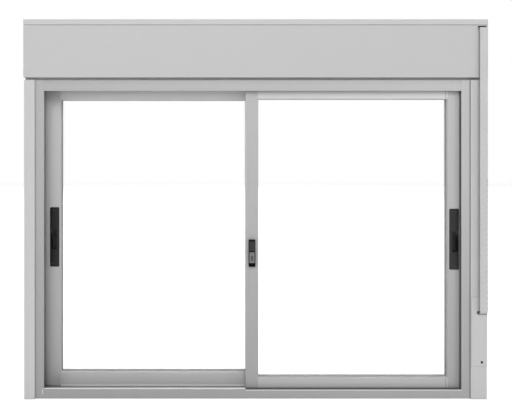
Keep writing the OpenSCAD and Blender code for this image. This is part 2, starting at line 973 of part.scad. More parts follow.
// Meeting points of the slats that hang from the point p until they reach the slot
function hanging(p, list = []) = let (
        dy = max(-hang_reach, min(hang_reach, slot_y - p[0])),
        q = p + [dy, -sqrt(slat_pitch * slat_pitch - dy * dy)]
    )
    abs(slot_y - q[0]) < 0.01 ? concat(list, [p, q]) : hanging(q, concat(list, [p]));

hanging_points = hanging(roll_point(last_angle));
end_point = hanging_points[len(hanging_points) - 1];
last_slat = hanging_points[len(hanging_points) - 2] - end_point;

module shutter_curtain() {
    color("lightgray") {
        for (i = [0:wound_slats - 1])
            slat_between(roll_point(joint_angles[i]), roll_point(joint_angles[i + 1]));
        for (i = [0:len(hanging_points) - 2])
            slat_between(hanging_points[i], hanging_points[i + 1]);
        translate([curtain_x0, end_point[0], end_point[1]])
            rotate([0, 90, 0])
                cylinder(r = hinge_r, h = curtain_x1 - curtain_x0);
    }
}

// Hollow bar at the bottom of the curtain, which holds the last bead in its top groove
module shutter_end_slat() {
    wall = 1.5;
    lip = 1;
    top = hinge_r + fit + lip;
    cell_h = (end_slat_h - top - hinge_r - fit - 3 * wall) / 2;
    color("lightgray")
        translate([curtain_x0, end_point[0], end_point[1]])
            rotate([90, 0, 90])
                linear_extrude(curtain_x1 - curtain_x0)
                    difference() {
                        translate([-end_slat_t / 2, top - end_slat_h])
                            square([end_slat_t, end_slat_h]);
                        circle(r = hinge_r + fit);
                        rotate(atan2(last_slat[1], last_slat[0]))
                            translate([0, -neck_t / 2 - fit])
                                square([slat_pitch / 2, neck_t + 2 * fit]);
                        for (i = [0, 1])
                            translate([wall - end_slat_t / 2, top - end_slat_h + wall + i * (cell_h + wall)])
                                square([end_slat_t - 2 * wall, cell_h]);
                    }
}

// The guides outside the frame

// Section of a guide: x runs from its outer side to the pocket's mouth
module guide_section(side) {
    w = side + guide_pocket;
    difference() {
        square([w, guide_d]);
        translate([side, (guide_d - guide_slot) / 2])
            square([guide_pocket + over, guide_slot]);
        translate([guide_wall, guide_wall])
            square([side - 2 * guide_wall, guide_d - 2 * guide_wall]);
        for (y = [guide_wall, (guide_d + guide_slot) / 2 + guide_wall])
            translate([side, y])
                square([guide_pocket - guide_wall, (guide_d - guide_slot) / 2 - 2 * guide_wall]);
    }
}

module left_guide() {
    color("silver")
        translate([unit_x0, guide_y, 0])
            linear_extrude(box_z0)
                guide_section(left_guide_side);
}

module right_guide() {
    color("silver")
        translate([unit_x1, guide_y, 0])
            mirror([1, 0, 0])
                linear_extrude(box_z0)
                    guide_section(right_guide_side);
}

// Pile strips inside the mouth of each guide, touching both faces of the curtain
module guide_brushes() {
    pile = 1.2;
    color("dimgray")
        for (x = [left_pocket_x + guide_pocket - 6, right_pocket_x - guide_pocket + 1])
            for (y = [slot_y - guide_slot / 2, slot_y + guide_slot / 2 - pile])
                translate([x, y, 0])
                    cube([5, pile, box_z0]);
}

// The strap and its winder

winder_rim = 6;
winder_case_h = winder_h - 2 * winder_rim;
winder_x0 = frame_x1 + column_wall + 1;
winder_x1 = unit_x1 - column_wall - 1;
winder_plate_y = column_y0 - winder_plate_t;
case_wall = 1.2;
case_d = frame_d + column_proud - column_wall - 3;
drum_y = column_y0 + case_d / 2 + 2;
drum_z = winder_z + winder_h / 2 - 18;
hang_y = box_y0 - strap_off;

// Points on an arc round c, from angle a to angle b
function arc(c, r, a, b, n = 8) = [for (i = [0:n]) let (t = a + (b - a) * i / n) [c[0] + r * cos(t), c[1] + r * sin(t)]];

bend_r = 5;
inner_bend_r = 4;
coil_r = winder_r + fit + strap_t / 2;

// Middle line of the strap, from the pulley to the coil in the winder
strap_line = concat(
    arc([roll_y, roll_z], pulley_r + fit + strap_t / 2, -60, 88, 24),
    arc([hang_y + bend_r, upper_slot_z - bend_r], bend_r, 92, 176),
    arc([hang_y + bend_r, lower_slot_z + bend_r], bend_r, 184, 266),
    arc([drum_y - coil_r - inner_bend_r, lower_slot_z - inner_bend_r], inner_bend_r, 86, 0),
    arc([drum_y, drum_z], coil_r, 180, 330, 16)
);

function unit_normal(p, q) = let (d = q - p, l = norm(d)) [-d[1] / l, d[0] / l];

// The line moved sideways by half the strap's thickness
function beside(line, s) = [for (i = [0:len(line) - 1])
    let (p = line[max(i - 1, 0)], q = line[min(i + 1, len(line) - 1)]) line[i] + s * unit_normal(p, q)];

module lifting_strap() {
    right = beside(strap_line, strap_t / 2);
    left = beside(strap_line, -strap_t / 2);
    color("whitesmoke")
        translate([strap_x - strap_w / 2, 0, 0])
            rotate([90, 0, 90])
                linear_extrude(strap_w)
                    polygon(concat(right, [for (i = [len(left) - 1:-1:0]) left[i]]));
}

// Liner behind the upper slot
module strap_inlet() {
    color("black")
        translate([strap_x - strap_w / 2 - slot_play - liner_t, box_y0 + panel_t, upper_slot_z - slot_h / 2 - liner_t])
            difference() {
                cube([strap_w + 2 * (slot_play + liner_t), liner_d, slot_h + 2 * liner_t]);
                translate([liner_t, -over, liner_t])
                    cube([strap_w + 2 * slot_play, liner_d + 2 * over, slot_h]);
            }
}

module winder_case() {
    color("dimgray")
        translate([winder_x0, column_y0, winder_z + winder_rim])
            difference() {
                cube([winder_x1 - winder_x0, case_d, winder_case_h]);
                translate([case_wall, -over, case_wall])
                    cube([winder_x1 - winder_x0 - 2 * case_wall, case_d - case_wall + over, winder_case_h - 2 * case_wall]);
            }
}

module winder_drum() {
    color("whitesmoke")
        translate([strap_x - strap_w / 2, drum_y, drum_z])
            rotate([0, 90, 0])
                cylinder(r = winder_r, h = strap_w);
}

bush_w = strap_w + 2 * (slot_play + liner_t);
bush_h = 2 * slot_h;
bush_proud = 0.6;

module winder_cover() {
    color("gainsboro")
        difference() {
            translate([frame_x1 + 0.5, column_y0, winder_z])
                rounded_plate(right_column_w - 1, winder_h, 1.5, winder_plate_t);
            translate([strap_x - bush_w / 2 - fit, winder_plate_y - over, lower_slot_z - bush_h / 2 - fit])
                cube([bush_w + 2 * fit, winder_plate_t + 2 * over, bush_h + 2 * fit]);
        }
}

// Bush in the cover's opening, round the strap
module strap_mouth() {
    color("black")
        translate([strap_x - bush_w / 2, winder_plate_y - bush_proud, lower_slot_z - bush_h / 2])
            difference() {
                cube([bush_w, winder_plate_t + bush_proud, bush_h]);
                translate([liner_t, -over, liner_t])
                    cube([bush_w - 2 * liner_t, winder_plate_t + bush_proud + 2 * over, bush_h - 2 * liner_t]);
            }
}

sill();
head();
left_jamb();
right_jamb();
left_column();
right_column();
flange_seals();
left_sash_outer_stile();
left_sash_meeting_stile();
left_sash_top_rail();
left_sash_bottom_rail();
right_sash_outer_stile();
right_sash_meeting_stile();
right_sash_top_rail();
right_sash_bottom_rail();
left_glass();
right_glass();
glass_spacers();
glazing_gaskets();
left_pull();
right_pull();
latch_body();
latch_slider();
latch_keeper();
sash_rollers();
sash_brushes();
box_front_cover();
box_top_panel();
box_rear_panel();
box_base();
box_soffit();
left_end_cap();
right_end_cap();
shutter_axle();
axle_bearings();
strap_pulley();
shutter_curtain();
shutter_end_slat();
left_guide();
right_guide();
guide_brushes();
lifting_strap();
strap_inlet();
winder_case();
winder_drum();
winder_cover();
strap_mouth();
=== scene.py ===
import math

import bmesh
import bpy
import numpy as np
from bpy.props import FloatProperty, FloatVectorProperty, IntProperty, PointerProperty
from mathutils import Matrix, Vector


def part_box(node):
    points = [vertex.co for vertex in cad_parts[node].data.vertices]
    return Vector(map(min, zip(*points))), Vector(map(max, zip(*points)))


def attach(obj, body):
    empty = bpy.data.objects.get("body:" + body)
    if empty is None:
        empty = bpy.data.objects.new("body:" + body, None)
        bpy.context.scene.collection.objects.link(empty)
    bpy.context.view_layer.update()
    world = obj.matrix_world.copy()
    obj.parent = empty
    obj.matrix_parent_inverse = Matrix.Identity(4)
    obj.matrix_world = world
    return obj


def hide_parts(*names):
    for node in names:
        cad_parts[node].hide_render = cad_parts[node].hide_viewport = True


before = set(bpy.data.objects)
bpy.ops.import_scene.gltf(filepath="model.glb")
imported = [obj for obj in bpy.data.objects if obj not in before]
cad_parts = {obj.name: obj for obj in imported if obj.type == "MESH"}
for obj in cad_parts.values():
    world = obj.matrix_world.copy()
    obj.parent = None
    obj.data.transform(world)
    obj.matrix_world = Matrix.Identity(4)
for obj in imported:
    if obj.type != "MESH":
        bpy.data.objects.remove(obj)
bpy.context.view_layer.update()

bl_info = {
    "name": "Sliding Window Dressing",
    "version": (1, 0, 0),
    "blender": (4, 5, 0),
    "location": "View3D > Sidebar > Window",
    "description": "Finishes, strap, screws, gaskets, pile and pulls for a sliding window with a shutter box",
    "category": "Object",
}

MM = 0.001
ROOT = "root"

# Which finish each node of the window takes, by the direction its profile runs in
UPRIGHT_ALUMINIUM = (
    "left_jamb", "right_jamb", "left_guide", "right_guide",
    "right_sash_outer_stile", "right_sash_meeting_stile",
)
LEVEL_ALUMINIUM = ("sill", "shutter_end_slat")
LACQUERED = ("box_front_cover", "box_rear_panel", "box_base", "box_soffit")
NODE_FINISHES = {
    "upright_aluminium": UPRIGHT_ALUMINIUM,
    "level_aluminium": LEVEL_ALUMINIUM,
    "head_aluminium_painted_shadow": ("head",),
    "front_level_aluminium_painted_lighter": ("right_sash_top_rail", "right_sash_bottom_rail"),
    "rear_upright_aluminium_painted_lighter": ("left_sash_outer_stile", "left_sash_meeting_stile"),
    "rear_level_aluminium_painted_lighter": ("left_sash_top_rail", "left_sash_bottom_rail"),
    "grey_lacquer": LACQUERED,
    "pale_lacquer": ("left_column", "right_column", "box_top_panel", "winder_cover"),
    "slat_lacquer": ("shutter_curtain",),
    "mill_aluminium": ("glass_spacers",),
    "clear_glass": ("left_glass", "right_glass"),
    "grey_rubber": ("glazing_gaskets",),
    "black_rubber": ("flange_seals",),
    "black_plastic": ("left_pull", "right_pull", "latch_body", "strap_inlet", "winder_case", "strap_mouth"),
    "grey_plastic": ("latch_slider", "latch_keeper"),
    "cap_plastic": ("left_end_cap", "right_end_cap"),
    "white_plastic": ("sash_rollers", "strap_pulley"),
    "grey_pile": ("sash_brushes", "guide_brushes"),
    "woven_strap": ("lifting_strap",),
    "coiled_strap": ("winder_drum",),
    "zinc_steel": ("shutter_axle", "axle_bearings"),
}


# ---------------------------------------------------------------- sizes and colours

class WindowFinishes(bpy.types.PropertyGroup):
    """Colours of the window's finishes"""

    aluminium: FloatVectorProperty(
        name="Aluminium", description="Satin anodised aluminium of the frame and the sashes",
        subtype="COLOR", size=3, min=0, max=1, default=(0.47, 0.475, 0.47))
    lacquer: FloatVectorProperty(
        name="Lacquer", description="Light grey lacquer of the box and the side columns",
        subtype="COLOR", size=3, min=0, max=1, default=(0.50, 0.505, 0.50))
    black_plastic: FloatVectorProperty(
        name="Black plastic", description="Pulls, latch and strap bushes",
        subtype="COLOR", size=3, min=0, max=1, default=(0.010, 0.010, 0.010))
    grey_plastic: FloatVectorProperty(
        name="Grey plastic", description="Slider of the latch and its keeper",
        subtype="COLOR", size=3, min=0, max=1, default=(0.17, 0.17, 0.17))
    strap: FloatVectorProperty(
        name="Strap", description="Woven lifting strap",
        subtype="COLOR", size=3, min=0, max=1, default=(0.57, 0.575, 0.57))
    rubber: FloatVectorProperty(
        name="Rubber", description="Gaskets round the glass",
        subtype="COLOR", size=3, min=0, max=1, default=(0.55, 0.55, 0.55))
    glass: FloatVectorProperty(
        name="Glass", description="Clear float glass",
        subtype="COLOR", size=3, min=0, max=1, default=(1.0, 1.0, 1.0))


class WindowSizes(bpy.types.PropertyGroup):
    """Sizes of the fittings that dress the window"""

    screw_radius: FloatProperty(
        name="Screw head", description="Radius of the screw heads", unit="LENGTH",
        default=3.2 * MM, min=1.5 * MM, max=5 * MM)
    strap_thickness: FloatProperty(
        name="Strap thickness", description="Thickness of the woven strap", unit="LENGTH",
        default=1.4 * MM, min=0.8 * MM, max=2 * MM)
    strap_step: FloatProperty(
        name="Strap step", description="Distance between the rings of the strap's mesh", unit="LENGTH",
        default=2.0 * MM, min=0.5 * MM, max=5 * MM)
    # painted shade: the strap's dark edge marks stand for the shade of its weave
    weave_shade_pitch: FloatProperty(
        name="Edge marks", description="Distance between the dark marks on the strap's edge", unit="LENGTH",
        default=13.7 * MM, min=4 * MM, max=40 * MM)
    weave_shade_height: FloatProperty(
        name="Weave shade height", description="Height under which the strap's edge carries marks", unit="LENGTH",
        default=0.574, min=0, max=1)
    lip_width: FloatProperty(
        name="Gasket lip", description="How far the gasket lies on the glass", unit="LENGTH",
        default=1.2 * MM, min=0.5 * MM, max=4 * MM)
    lip_height: FloatProperty(
        name="Gasket height", description="How far the gasket stands on the glass", unit="LENGTH",
        default=2.2 * MM, min=0.5 * MM, max=3 * MM)
    pile_fins: IntProperty(
        name="Pile fins", description="Rows of fibre in each pile strip", default=3, min=2, max=6)


class WindowStage(bpy.types.PropertyGroup):
    """Camera and light"""

    camera_distance: FloatProperty(
        name="Camera distance", description="From the camera to the front of the box", unit="LENGTH",
        default=1.25, min=0.5, max=5)
    camera_x: FloatProperty(
        name="Camera side", description="Sideways place of the camera", unit="LENGTH", default=-0.100)
    camera_z: FloatProperty(
        name="Camera height", description="Height of the camera over the underside of the sill",
        unit="LENGTH", default=0.6595)
    view_width: FloatProperty(
        name="View width", description="Width that the picture shows at the front of the box",
        unit="LENGTH", default=1.322, min=0.5, max=5)
    key_power: FloatProperty(
        name="Key light", description="Power of the large lamp", unit="POWER", default=215.0, min=0)
    world_level: FloatProperty(
        name="World light", description="Strength of the even light all round", default=0.30, min=0, max=2)


# ---------------------------------------------------------------- meshes

def grid_quads(rows, cols, close_rows=False, close_cols=False):
    """Corner numbers of the quads between neighbouring points of a rows by cols grid."""
    r = np.arange(rows if close_rows else rows - 1)
    c = np.arange(cols if close_cols else cols - 1)
    rr, cc = np.meshgrid(r, c, indexing="ij")
    r2, c2 = (rr + 1) % rows, (cc + 1) % cols
    return np.stack([rr * cols + cc, rr * cols + c2, r2 * cols + c2, r2 * cols + cc], -1).reshape(-1, 4)


def fan(ring, centre):
    """Triangles from a ring of points to a centre point."""
    return np.stack([ring, np.roll(ring, -1), np.full_like(ring, centre)], -1)


def mesh_object(name, points, face_sets, sharp=35.0, uv=None):
    """One object from an (n, 3) array of points and arrays of quads and triangles.
    Doubles are merged and the faces of the closed shells are turned outwards."""
    mesh = bpy.data.meshes.new(name)
    sizes = np.concatenate([np.full(len(f), f.shape[1]) for f in face_sets])
    loops = np.concatenate([f.ravel() for f in face_sets]).astype(np.int32)
    mesh.vertices.add(len(points))
    mesh.vertices.foreach_set("co", np.asarray(points, np.float32).ravel())
    mesh.loops.add(len(loops))
    mesh.loops.foreach_set("vertex_index", loops)
    mesh.polygons.add(len(sizes))
    mesh.polygons.foreach_set("loop_start", np.concatenate([[0], np.cumsum(sizes)[:-1]]).astype(np.int32))
    mesh.update(calc_edges=True)
    if uv is not None:
        layer = mesh.uv_layers.new(name="UVMap")
        layer.data.foreach_set("uv", np.asarray(uv, np.float32)[loops].ravel())
    work = bmesh.new()
    work.from_mesh(mesh)
    bmesh.ops.remove_doubles(work, verts=work.verts, dist=1e-6)
    bmesh.ops.recalc_face_normals(work, faces=work.faces)
    work.to_mesh(mesh)
    work.free()
    mesh.polygons.foreach_set("use_smooth", np.ones(len(mesh.polygons), bool))
    mesh.set_sharp_from_angle(angle=math.radians(sharp))
    piece = bpy.data.objects.new(name, mesh)
    bpy.context.scene.collection.objects.link(piece)
    return piece


def join_shells(shells):
    """Stacks several (points, face sets) shells into one pair."""
    points, faces, start = [], [], 0
    for shell_points, shell_faces in shells:
        points.append(shell_points)
        faces += [f + start for f in shell_faces]
        start += len(shell_points)
    return np.concatenate(points), faces


def swept_shell(profile, path, across, up):
    """A closed profile carried along an open path: point = path + a * across + b * up,
    with a fan over each end. profile is (k, 2), the other three are (n, 3)."""
    rings = (path[:, None, :] + profile[None, :, :1] * across[:, None, :]
             + profile[None, :, 1:] * up[:, None, :])
    n, k = rings.shape[:2]
    points = np.concatenate([rings.reshape(-1, 3), rings[:1].mean(1), rings[-1:].mean(1)])
    first, last = np.arange(k), np.arange(k) + (n - 1) * k
    return points, [grid_quads(n, k, close_cols=True), fan(first, n * k), fan(last, n * k + 1)]


def dressed(piece, material, slot, *nodes):
    """Gives a piece its finish, its body and the nodes it stands for; the slot is not used."""
    piece.data.materials.append(material)
    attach(piece, ROOT)
    if nodes:
        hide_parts(*nodes)
    return piece


# ---------------------------------------------------------------- node helpers

def add_node(tree, kind, inputs=None, **settings):
    """A shader node with its settings and its inputs; an input is a value or a socket."""
    made = tree.nodes.new(kind)
    for key, value in settings.items():
        setattr(made, key, value)
    for key, value in (inputs or {}).items():
        if isinstance(value, bpy.types.NodeSocket):
            tree.links.new(value, made.inputs[key])
        else:
            made.inputs[key].default_value = value
    return made


def math_node(tree, operation, *values, clamp=False):
    made = tree.nodes.new("ShaderNodeMath")
    made.operation = operation
    made.use_clamp = clamp
    for i, value in enumerate(values):
        if isinstance(value, bpy.types.NodeSocket):
            tree.links.new(value, made.inputs[i])
        else:
            made.inputs[i].default_value = value
    return made.outputs[0]


def new_group(name, inputs, outputs):
    """An empty shader node group with named sockets: (name, type, default)."""
    group = bpy.data.node_groups.new(name, "ShaderNodeTree")
    for label, kind, default in inputs:
        socket = group.interface.new_socket(name=label, in_out="INPUT", socket_type=kind)
        if default is not None:
            socket.default_value = default
    for label, kind in outputs:
        group.interface.new_socket(name=label, in_out="OUTPUT", socket_type=kind)
    return group, group.nodes.new("NodeGroupInput").outputs, group.nodes.new("NodeGroupOutput").inputs


def place_group(tree, group, **inputs):
    made = tree.nodes.new("ShaderNodeGroup")
    made.node_tree = group
    for key, value in inputs.items():
        label = key.replace("_", " ")
        if isinstance(value, bpy.types.NodeSocket):
            tree.links.new(value, made.inputs[label])
        else:
            made.inputs[label].default_value = value
    return made.outputs


def scaled_noise(tree, vector, scale, detail=2.0, rough=0.5):
    """Noise from 0 to 1 of the vector times a scale socket or value."""
    made = add_node(tree, "ShaderNodeTexNoise", {"Vector": vector, "Scale": scale, "Detail": detail,
                                                "Roughness": rough})
    return made.outputs["Fac"]


def tinted(tree, colour, factor):
    """Colour times a factor."""
    made = tree.nodes.new("ShaderNodeVectorMath")
    made.operation = "SCALE"
    for value, socket in ((colour, made.inputs[0]), (factor, made.inputs["Scale"])):
        if isinstance(value, bpy.types.NodeSocket):
            tree.links.new(value, socket)
        else:
            socket.default_value = value
    return made.outputs[0]


def make_tone_group():
    """Tone: colour * (1 + clouds + grain), clouds a slow noise and grain a fine one."""
    group, given, out = new_group("tone", [
        ("Vector", "NodeSocketVector", None), ("Color", "NodeSocketColor", (0.5, 0.5, 0.5, 1)),
        ("Cloud Scale", "NodeSocketFloat", 6.0), ("Cloud", "NodeSocketFloat", 0.05),
        ("Grain Scale", "NodeSocketFloat", 900.0), ("Grain", "NodeSocketFloat", 0.04),
    ], [("Color", "NodeSocketColor"), ("Clouds", "NodeSocketFloat")])
    clouds = scaled_noise(group, given["Vector"], given["Cloud Scale"], 3.0)
    grain = scaled_noise(group, given["Vector"], given["Grain Scale"], 1.0)
    slow = math_node(group, "MULTIPLY", math_node(group, "SUBTRACT", clouds, 0.5), given["Cloud"])
    fine = math_node(group, "MULTIPLY", math_node(group, "SUBTRACT", grain, 0.5), given["Grain"])
    factor = math_node(group, "ADD", math_node(group, "ADD", slow, fine), 1.0)
    group.links.new(tinted(group, given["Color"], factor), out["Color"])
    group.links.new(clouds, out["Clouds"])
    return group


def make_dust_and_shade_group():
    """Dust and painted shade: the colour goes towards a dark tone in corners, where nearby faces shut the light out,
    broken up by a noise."""
    group, given, out = new_group("corner_dust_and_shade", [
        ("Vector", "NodeSocketVector", None), ("Color", "NodeSocketColor", (0.5, 0.5, 0.5, 1)),
        ("Dust And Shade Color", "NodeSocketColor", (0.12, 0.115, 0.11, 1)),
        ("Amount", "NodeSocketFloat", 0.5), ("Reach", "NodeSocketFloat", 0.006),
    ], [("Color", "NodeSocketColor"), ("Mask", "NodeSocketFloat")])
    shut = add_node(group, "ShaderNodeAmbientOcclusion", {"Distance": given["Reach"]}, samples=6)
    hidden = math_node(group, "SUBTRACT", 1.0, shut.outputs["AO"])
    patchy = scaled_noise(group, given["Vector"], 70.0, 3.0)
    mask = math_node(group, "MULTIPLY", math_node(group, "MULTIPLY", hidden, given["Amount"]),
                     math_node(group, "ADD", patchy, 0.35), clamp=True)
    mix = add_node(group, "ShaderNodeMix", {0: mask, 6: given["Color"], 7: given["Dust And Shade Color"]},
                   data_type="RGBA")
    group.links.new(mix.outputs[2], out["Color"])
    group.links.new(mask, out["Mask"])
    return group


def make_drawn_group():
    """Die lines: noise stretched along the profile, from a vector whose long axis is scaled down."""
    group, given, out = new_group("die_lines", [
        ("Vector", "NodeSocketVector", None), ("Stretch", "NodeSocketVector", (1.0, 1.0, 0.004)),
        ("Scale", "NodeSocketFloat", 700.0),
    ], [("Lines", "NodeSocketFloat")])
    stretched = add_node(group, "ShaderNodeVectorMath", {0: given["Vector"], 1: given["Stretch"]},
                         operation="MULTIPLY")
    lines = scaled_noise(group, stretched.outputs[0], given["Scale"], 2.0, 0.6)
    group.links.new(lines, out["Lines"])
    return group


class Finish:
    """A material with one Principled shader, and short ways to feed it."""

    def __init__(self, name, roughness, metallic=0.0):
        self.material = bpy.data.materials.new(name)
        self.material.use_nodes = True
        self.tree = self.material.node_tree
        self.shader = self.tree.nodes["Principled BSDF"]
        self.shader.inputs["Roughness"].default_value = roughness
        self.shader.inputs["Metallic"].default_value = metallic
        self.here = self.tree.nodes.new("ShaderNodeTexCoord").outputs["Object"]

    def feed(self, label, socket):
        self.tree.links.new(socket, self.shader.inputs[label])

    def spread(self, value, low, high):
        """Maps 0..1 onto low..high."""
        made = add_node(self.tree, "ShaderNodeMapRange", {"Value": value, "To Min": low, "To Max": high})
        return made.outputs[0]

    def bump(self, height, distance, strength=1.0):
        made = add_node(self.tree, "ShaderNodeBump", {"Height": height, "Distance": distance,
                                                     "Strength": strength})
        self.feed("Normal", made.outputs["Normal"])


def rgba(colour):
    return (*colour, 1.0)


class FinishBook:
    """All the finishes, made once."""

    def __init__(self, colours):
        self.tone = make_tone_group()
        self.dust_and_shade = make_dust_and_shade_group()
        self.drawn = make_drawn_group()
        self.made = {
            "upright_aluminium": self.aluminium("upright_aluminium", colours.aluminium, (1.0, 1.0, 0.004)),
            "level_aluminium": self.aluminium("level_aluminium", colours.aluminium, (0.004, 1.0, 1.0)),
            # painted shadow: a strong corner darkening with a long reach stands for the box's shadow on the head
            "head_aluminium_painted_shadow": self.aluminium("head_aluminium_painted_shadow", colours.aluminium, (0.004, 1.0, 1.0),
                                             dust_and_shade=0.9, reach=0.02),
            # painted light: lighter copies of the aluminium for the right sash's rails and for the deeper rear sash, so
            # that they render brighter than their light makes them
            "front_level_aluminium_painted_lighter": self.aluminium("front_level_aluminium_painted_lighter", self.paler(colours.aluminium, 1.27),
                                                    (0.004, 1.0, 1.0)),
            "rear_upright_aluminium_painted_lighter": self.aluminium("rear_upright_aluminium_painted_lighter", self.paler(colours.aluminium, 1.42),
                                                     (1.0, 1.0, 0.004)),
            "rear_level_aluminium_painted_lighter": self.aluminium("rear_level_aluminium_painted_lighter", self.paler(colours.aluminium, 1.62),
                                                   (0.004, 1.0, 1.0)),
            "mill_aluminium": self.aluminium("mill_aluminium", (0.85, 0.85, 0.85), (0.02, 1.0, 0.02)),
            "track_metal_painted_highlight": self.aluminium("track_metal_painted_highlight", (0.92, 0.92, 0.92), (0.004, 1.0, 1.0), 0.4),
            "grey_lacquer": self.lacquer("grey_lacquer", colours.lacquer),
            "pale_lacquer": self.lacquer("pale_lacquer", self.paler(colours.lacquer, 1.06)),
            "slat_lacquer": self.lacquer("slat_lacquer", (0.5, 0.51, 0.505)),
            "black_plastic": self.plastic("black_plastic", colours.black_plastic, 0.42, 0.36),
            "deep_black_and_shade": self.plastic("deep_black_and_shade", (0.003, 0.003, 0.003), 0.5, 0.05),
            "groove_shade_plastic": self.plastic("groove_shade_plastic", (0.075, 0.075, 0.075), 0.5, 0.4),
            "dark_plastic_and_shade": self.plastic("dark_plastic_and_shade", (0.03, 0.03, 0.03), 0.45, 0.4),
            "grey_plastic": self.plastic("grey_plastic", colours.grey_plastic, 0.45),
            "cap_plastic": self.plastic("cap_plastic", colours.lacquer, 0.55),
            "white_plastic": self.plastic("white_plastic", (0.72, 0.71, 0.68), 0.38),
            "grey_rubber": self.rubber("grey_rubber", colours.rubber),
            "black_rubber": self.rubber("black_rubber", (0.12, 0.12, 0.12)),
            "joint_filler_and_shade": self.rubber("joint_filler_and_shade", (0.11, 0.11, 0.11)),
            "grey_pile": self.pile(),
            "clear_glass": self.glass(colours.glass),
            "woven_strap": self.strap(colours.strap),
            "coiled_strap": self.coil(colours.strap),
            "zinc_steel": self.zinc(),
        }

    def paler(self, colour, times):
        """The colour times a factor, no part above 1."""
        return [min(1.0, times * part) for part in colour]

    def dusted_and_shaded(self, finish, colour, amount, reach=0.006):
        # dust and painted shade: the colour darkens where nearby faces shut the light out
        given = place_group(finish.tree, self.dust_and_shade, Vector=finish.here, Color=colour, Amount=amount, Reach=reach)
        finish.feed("Base Color", given["Color"])
        return given["Mask"]

    def aluminium(self, name, colour, stretch, roughness=0.5, metallic=0.15, dust_and_shade=0.15, reach=0.003):
        """Satin anodised metal: die lines along the profile, faint clouds, dust and painted shade in the corners and
        painted shade that grows slowly towards the sill and the left jamb, standing in for how the light falls."""
        made = Finish(name, roughness, metallic)
        lines = place_group(made.tree, self.drawn, Vector=made.here, Stretch=stretch)["Lines"]
        tone = place_group(made.tree, self.tone, Vector=made.here, Color=rgba(colour), Cloud_Scale=5.0,
                           Cloud=0.07, Grain_Scale=1600.0, Grain=0.05)
        lined = tinted(made.tree, tone["Color"], made.spread(lines, 0.97, 1.03))
        place = add_node(made.tree, "ShaderNodeSeparateXYZ", {0: made.here}).outputs
        # painted shade: darker towards the left jamb and towards the sill, standing in for how the light falls
        side = add_node(made.tree, "ShaderNodeMapRange", {"Value": place[0], "From Min": -0.6, "From Max": 0.6,
                                                         "To Min": 0.88, "To Max": 1.04})
        low = add_node(made.tree, "ShaderNodeMapRange", {"Value": place[2], "From Min": 0.0, "From Max": 0.7,
                                                        "To Min": 0.76, "To Max": 1.0})
        painted_light_falloff = math_node(made.tree, "MULTIPLY", side.outputs[0], low.outputs[0])
        self.dusted_and_shaded(made, tinted(made.tree, lined, painted_light_falloff), dust_and_shade, reach)
        made.feed("Roughness", made.spread(lines, roughness - 0.05, roughness + 0.07))
        made.bump(lines, 0.00002)
        return made.material

    def lacquer(self, name, colour):
        """Light lacquer with a fine orange peel and a faint unevenness of tone."""
        made = Finish(name, 0.42)
        tone = place_group(made.tree, self.tone, Vector=made.here, Color=rgba(colour), Cloud_Scale=3.5,
                           Cloud=0.035, Grain_Scale=1300.0, Grain=0.03)
        # dust and painted shade in the corners
        self.dusted_and_shaded(made, tone["Color"], 0.5)
        peel = scaled_noise(made.tree, made.here, 420.0, 1.5)
        made.feed("Roughness", made.spread(tone["Clouds"], 0.38, 0.46))
        made.bump(peel, 0.00004)
        return made.material

    def plastic(self, name, colour, roughness, mirror=0.5):
        """Moulded plastic with a spark-eroded grain, worn a little smoother in patches."""
        made = Finish(name, roughness)
        made.shader.inputs["Specular IOR Level"].default_value = mirror
        tone = place_group(made.tree, self.tone, Vector=made.here, Color=rgba(colour), Cloud_Scale=40.0,
                           Cloud=0.18, Grain_Scale=2600.0, Grain=0.25)
        # dust and painted shade in the corners
        self.dusted_and_shaded(made, tone["Color"], 0.35, 0.004)
        grain = scaled_noise(made.tree, made.here, 2200.0, 2.0)
        made.feed("Roughness", made.spread(tone["Clouds"], roughness - 0.1, roughness + 0.08))
        made.bump(grain, 0.00005)
        return made.material

    def rubber(self, name, colour):
        """Matt rubber, dusty on its face."""
        made = Finish(name, 0.75)
        tone = place_group(made.tree, self.tone, Vector=made.here, Color=rgba(colour), Cloud_Scale=60.0,
                           Cloud=0.25, Grain_Scale=1500.0, Grain=0.15)
        made.feed("Base Color", tone["Color"])
        made.feed("Roughness", made.spread(tone["Clouds"], 0.62, 0.88))
        made.bump(scaled_noise(made.tree, made.here, 900.0), 0.00005)
        return made.material

    def pile(self):
        """Dense fibres: fine noise drawn out along the fibres' direction across the strip."""
        made = Finish("grey_pile", 0.95)
        drawn = place_group(made.tree, self.drawn, Vector=made.here, Stretch=(0.15, 0.6, 1.0), Scale=2400.0)
        tone = place_group(made.tree, self.tone, Vector=made.here, Color=(0.12, 0.12, 0.12, 1.0),
                           Cloud_Scale=90.0, Cloud=0.5, Grain_Scale=3000.0, Grain=0.5)
        made.feed("Base Color", tinted(made.tree, tone["Color"], made.spread(drawn["Lines"], 0.45, 1.5)))
        made.feed("Roughness", made.spread(drawn["Lines"], 0.85, 1.0))
        made.bump(drawn["Lines"], 0.0003)
        made.shader.inputs["Sheen Weight"].default_value = 0.3
        return made.material

    def zinc(self):
        """Galvanised steel: flakes of slightly different tone."""
        made = Finish("zinc_steel", 0.42, 1.0)
        flakes = add_node(made.tree, "ShaderNodeTexVoronoi", {"Vector": made.here, "Scale": 130.0})
        tone = place_group(made.tree, self.tone, Vector=made.here, Color=(0.42, 0.43, 0.44, 1.0),
                           Cloud_Scale=12.0, Cloud=0.1, Grain_Scale=1200.0, Grain=0.08)
        grey = add_node(made.tree, "ShaderNodeSeparateColor", {"Color": flakes.outputs["Color"]})
        made.feed("Base Color", tinted(made.tree, tone["Color"], made.spread(grey.outputs[0], 0.8, 1.15)))
        made.feed("Roughness", made.spread(grey.outputs[0], 0.34, 0.52))
        made.bump(scaled_noise(made.tree, made.here, 300.0), 0.00004)
        return made.material

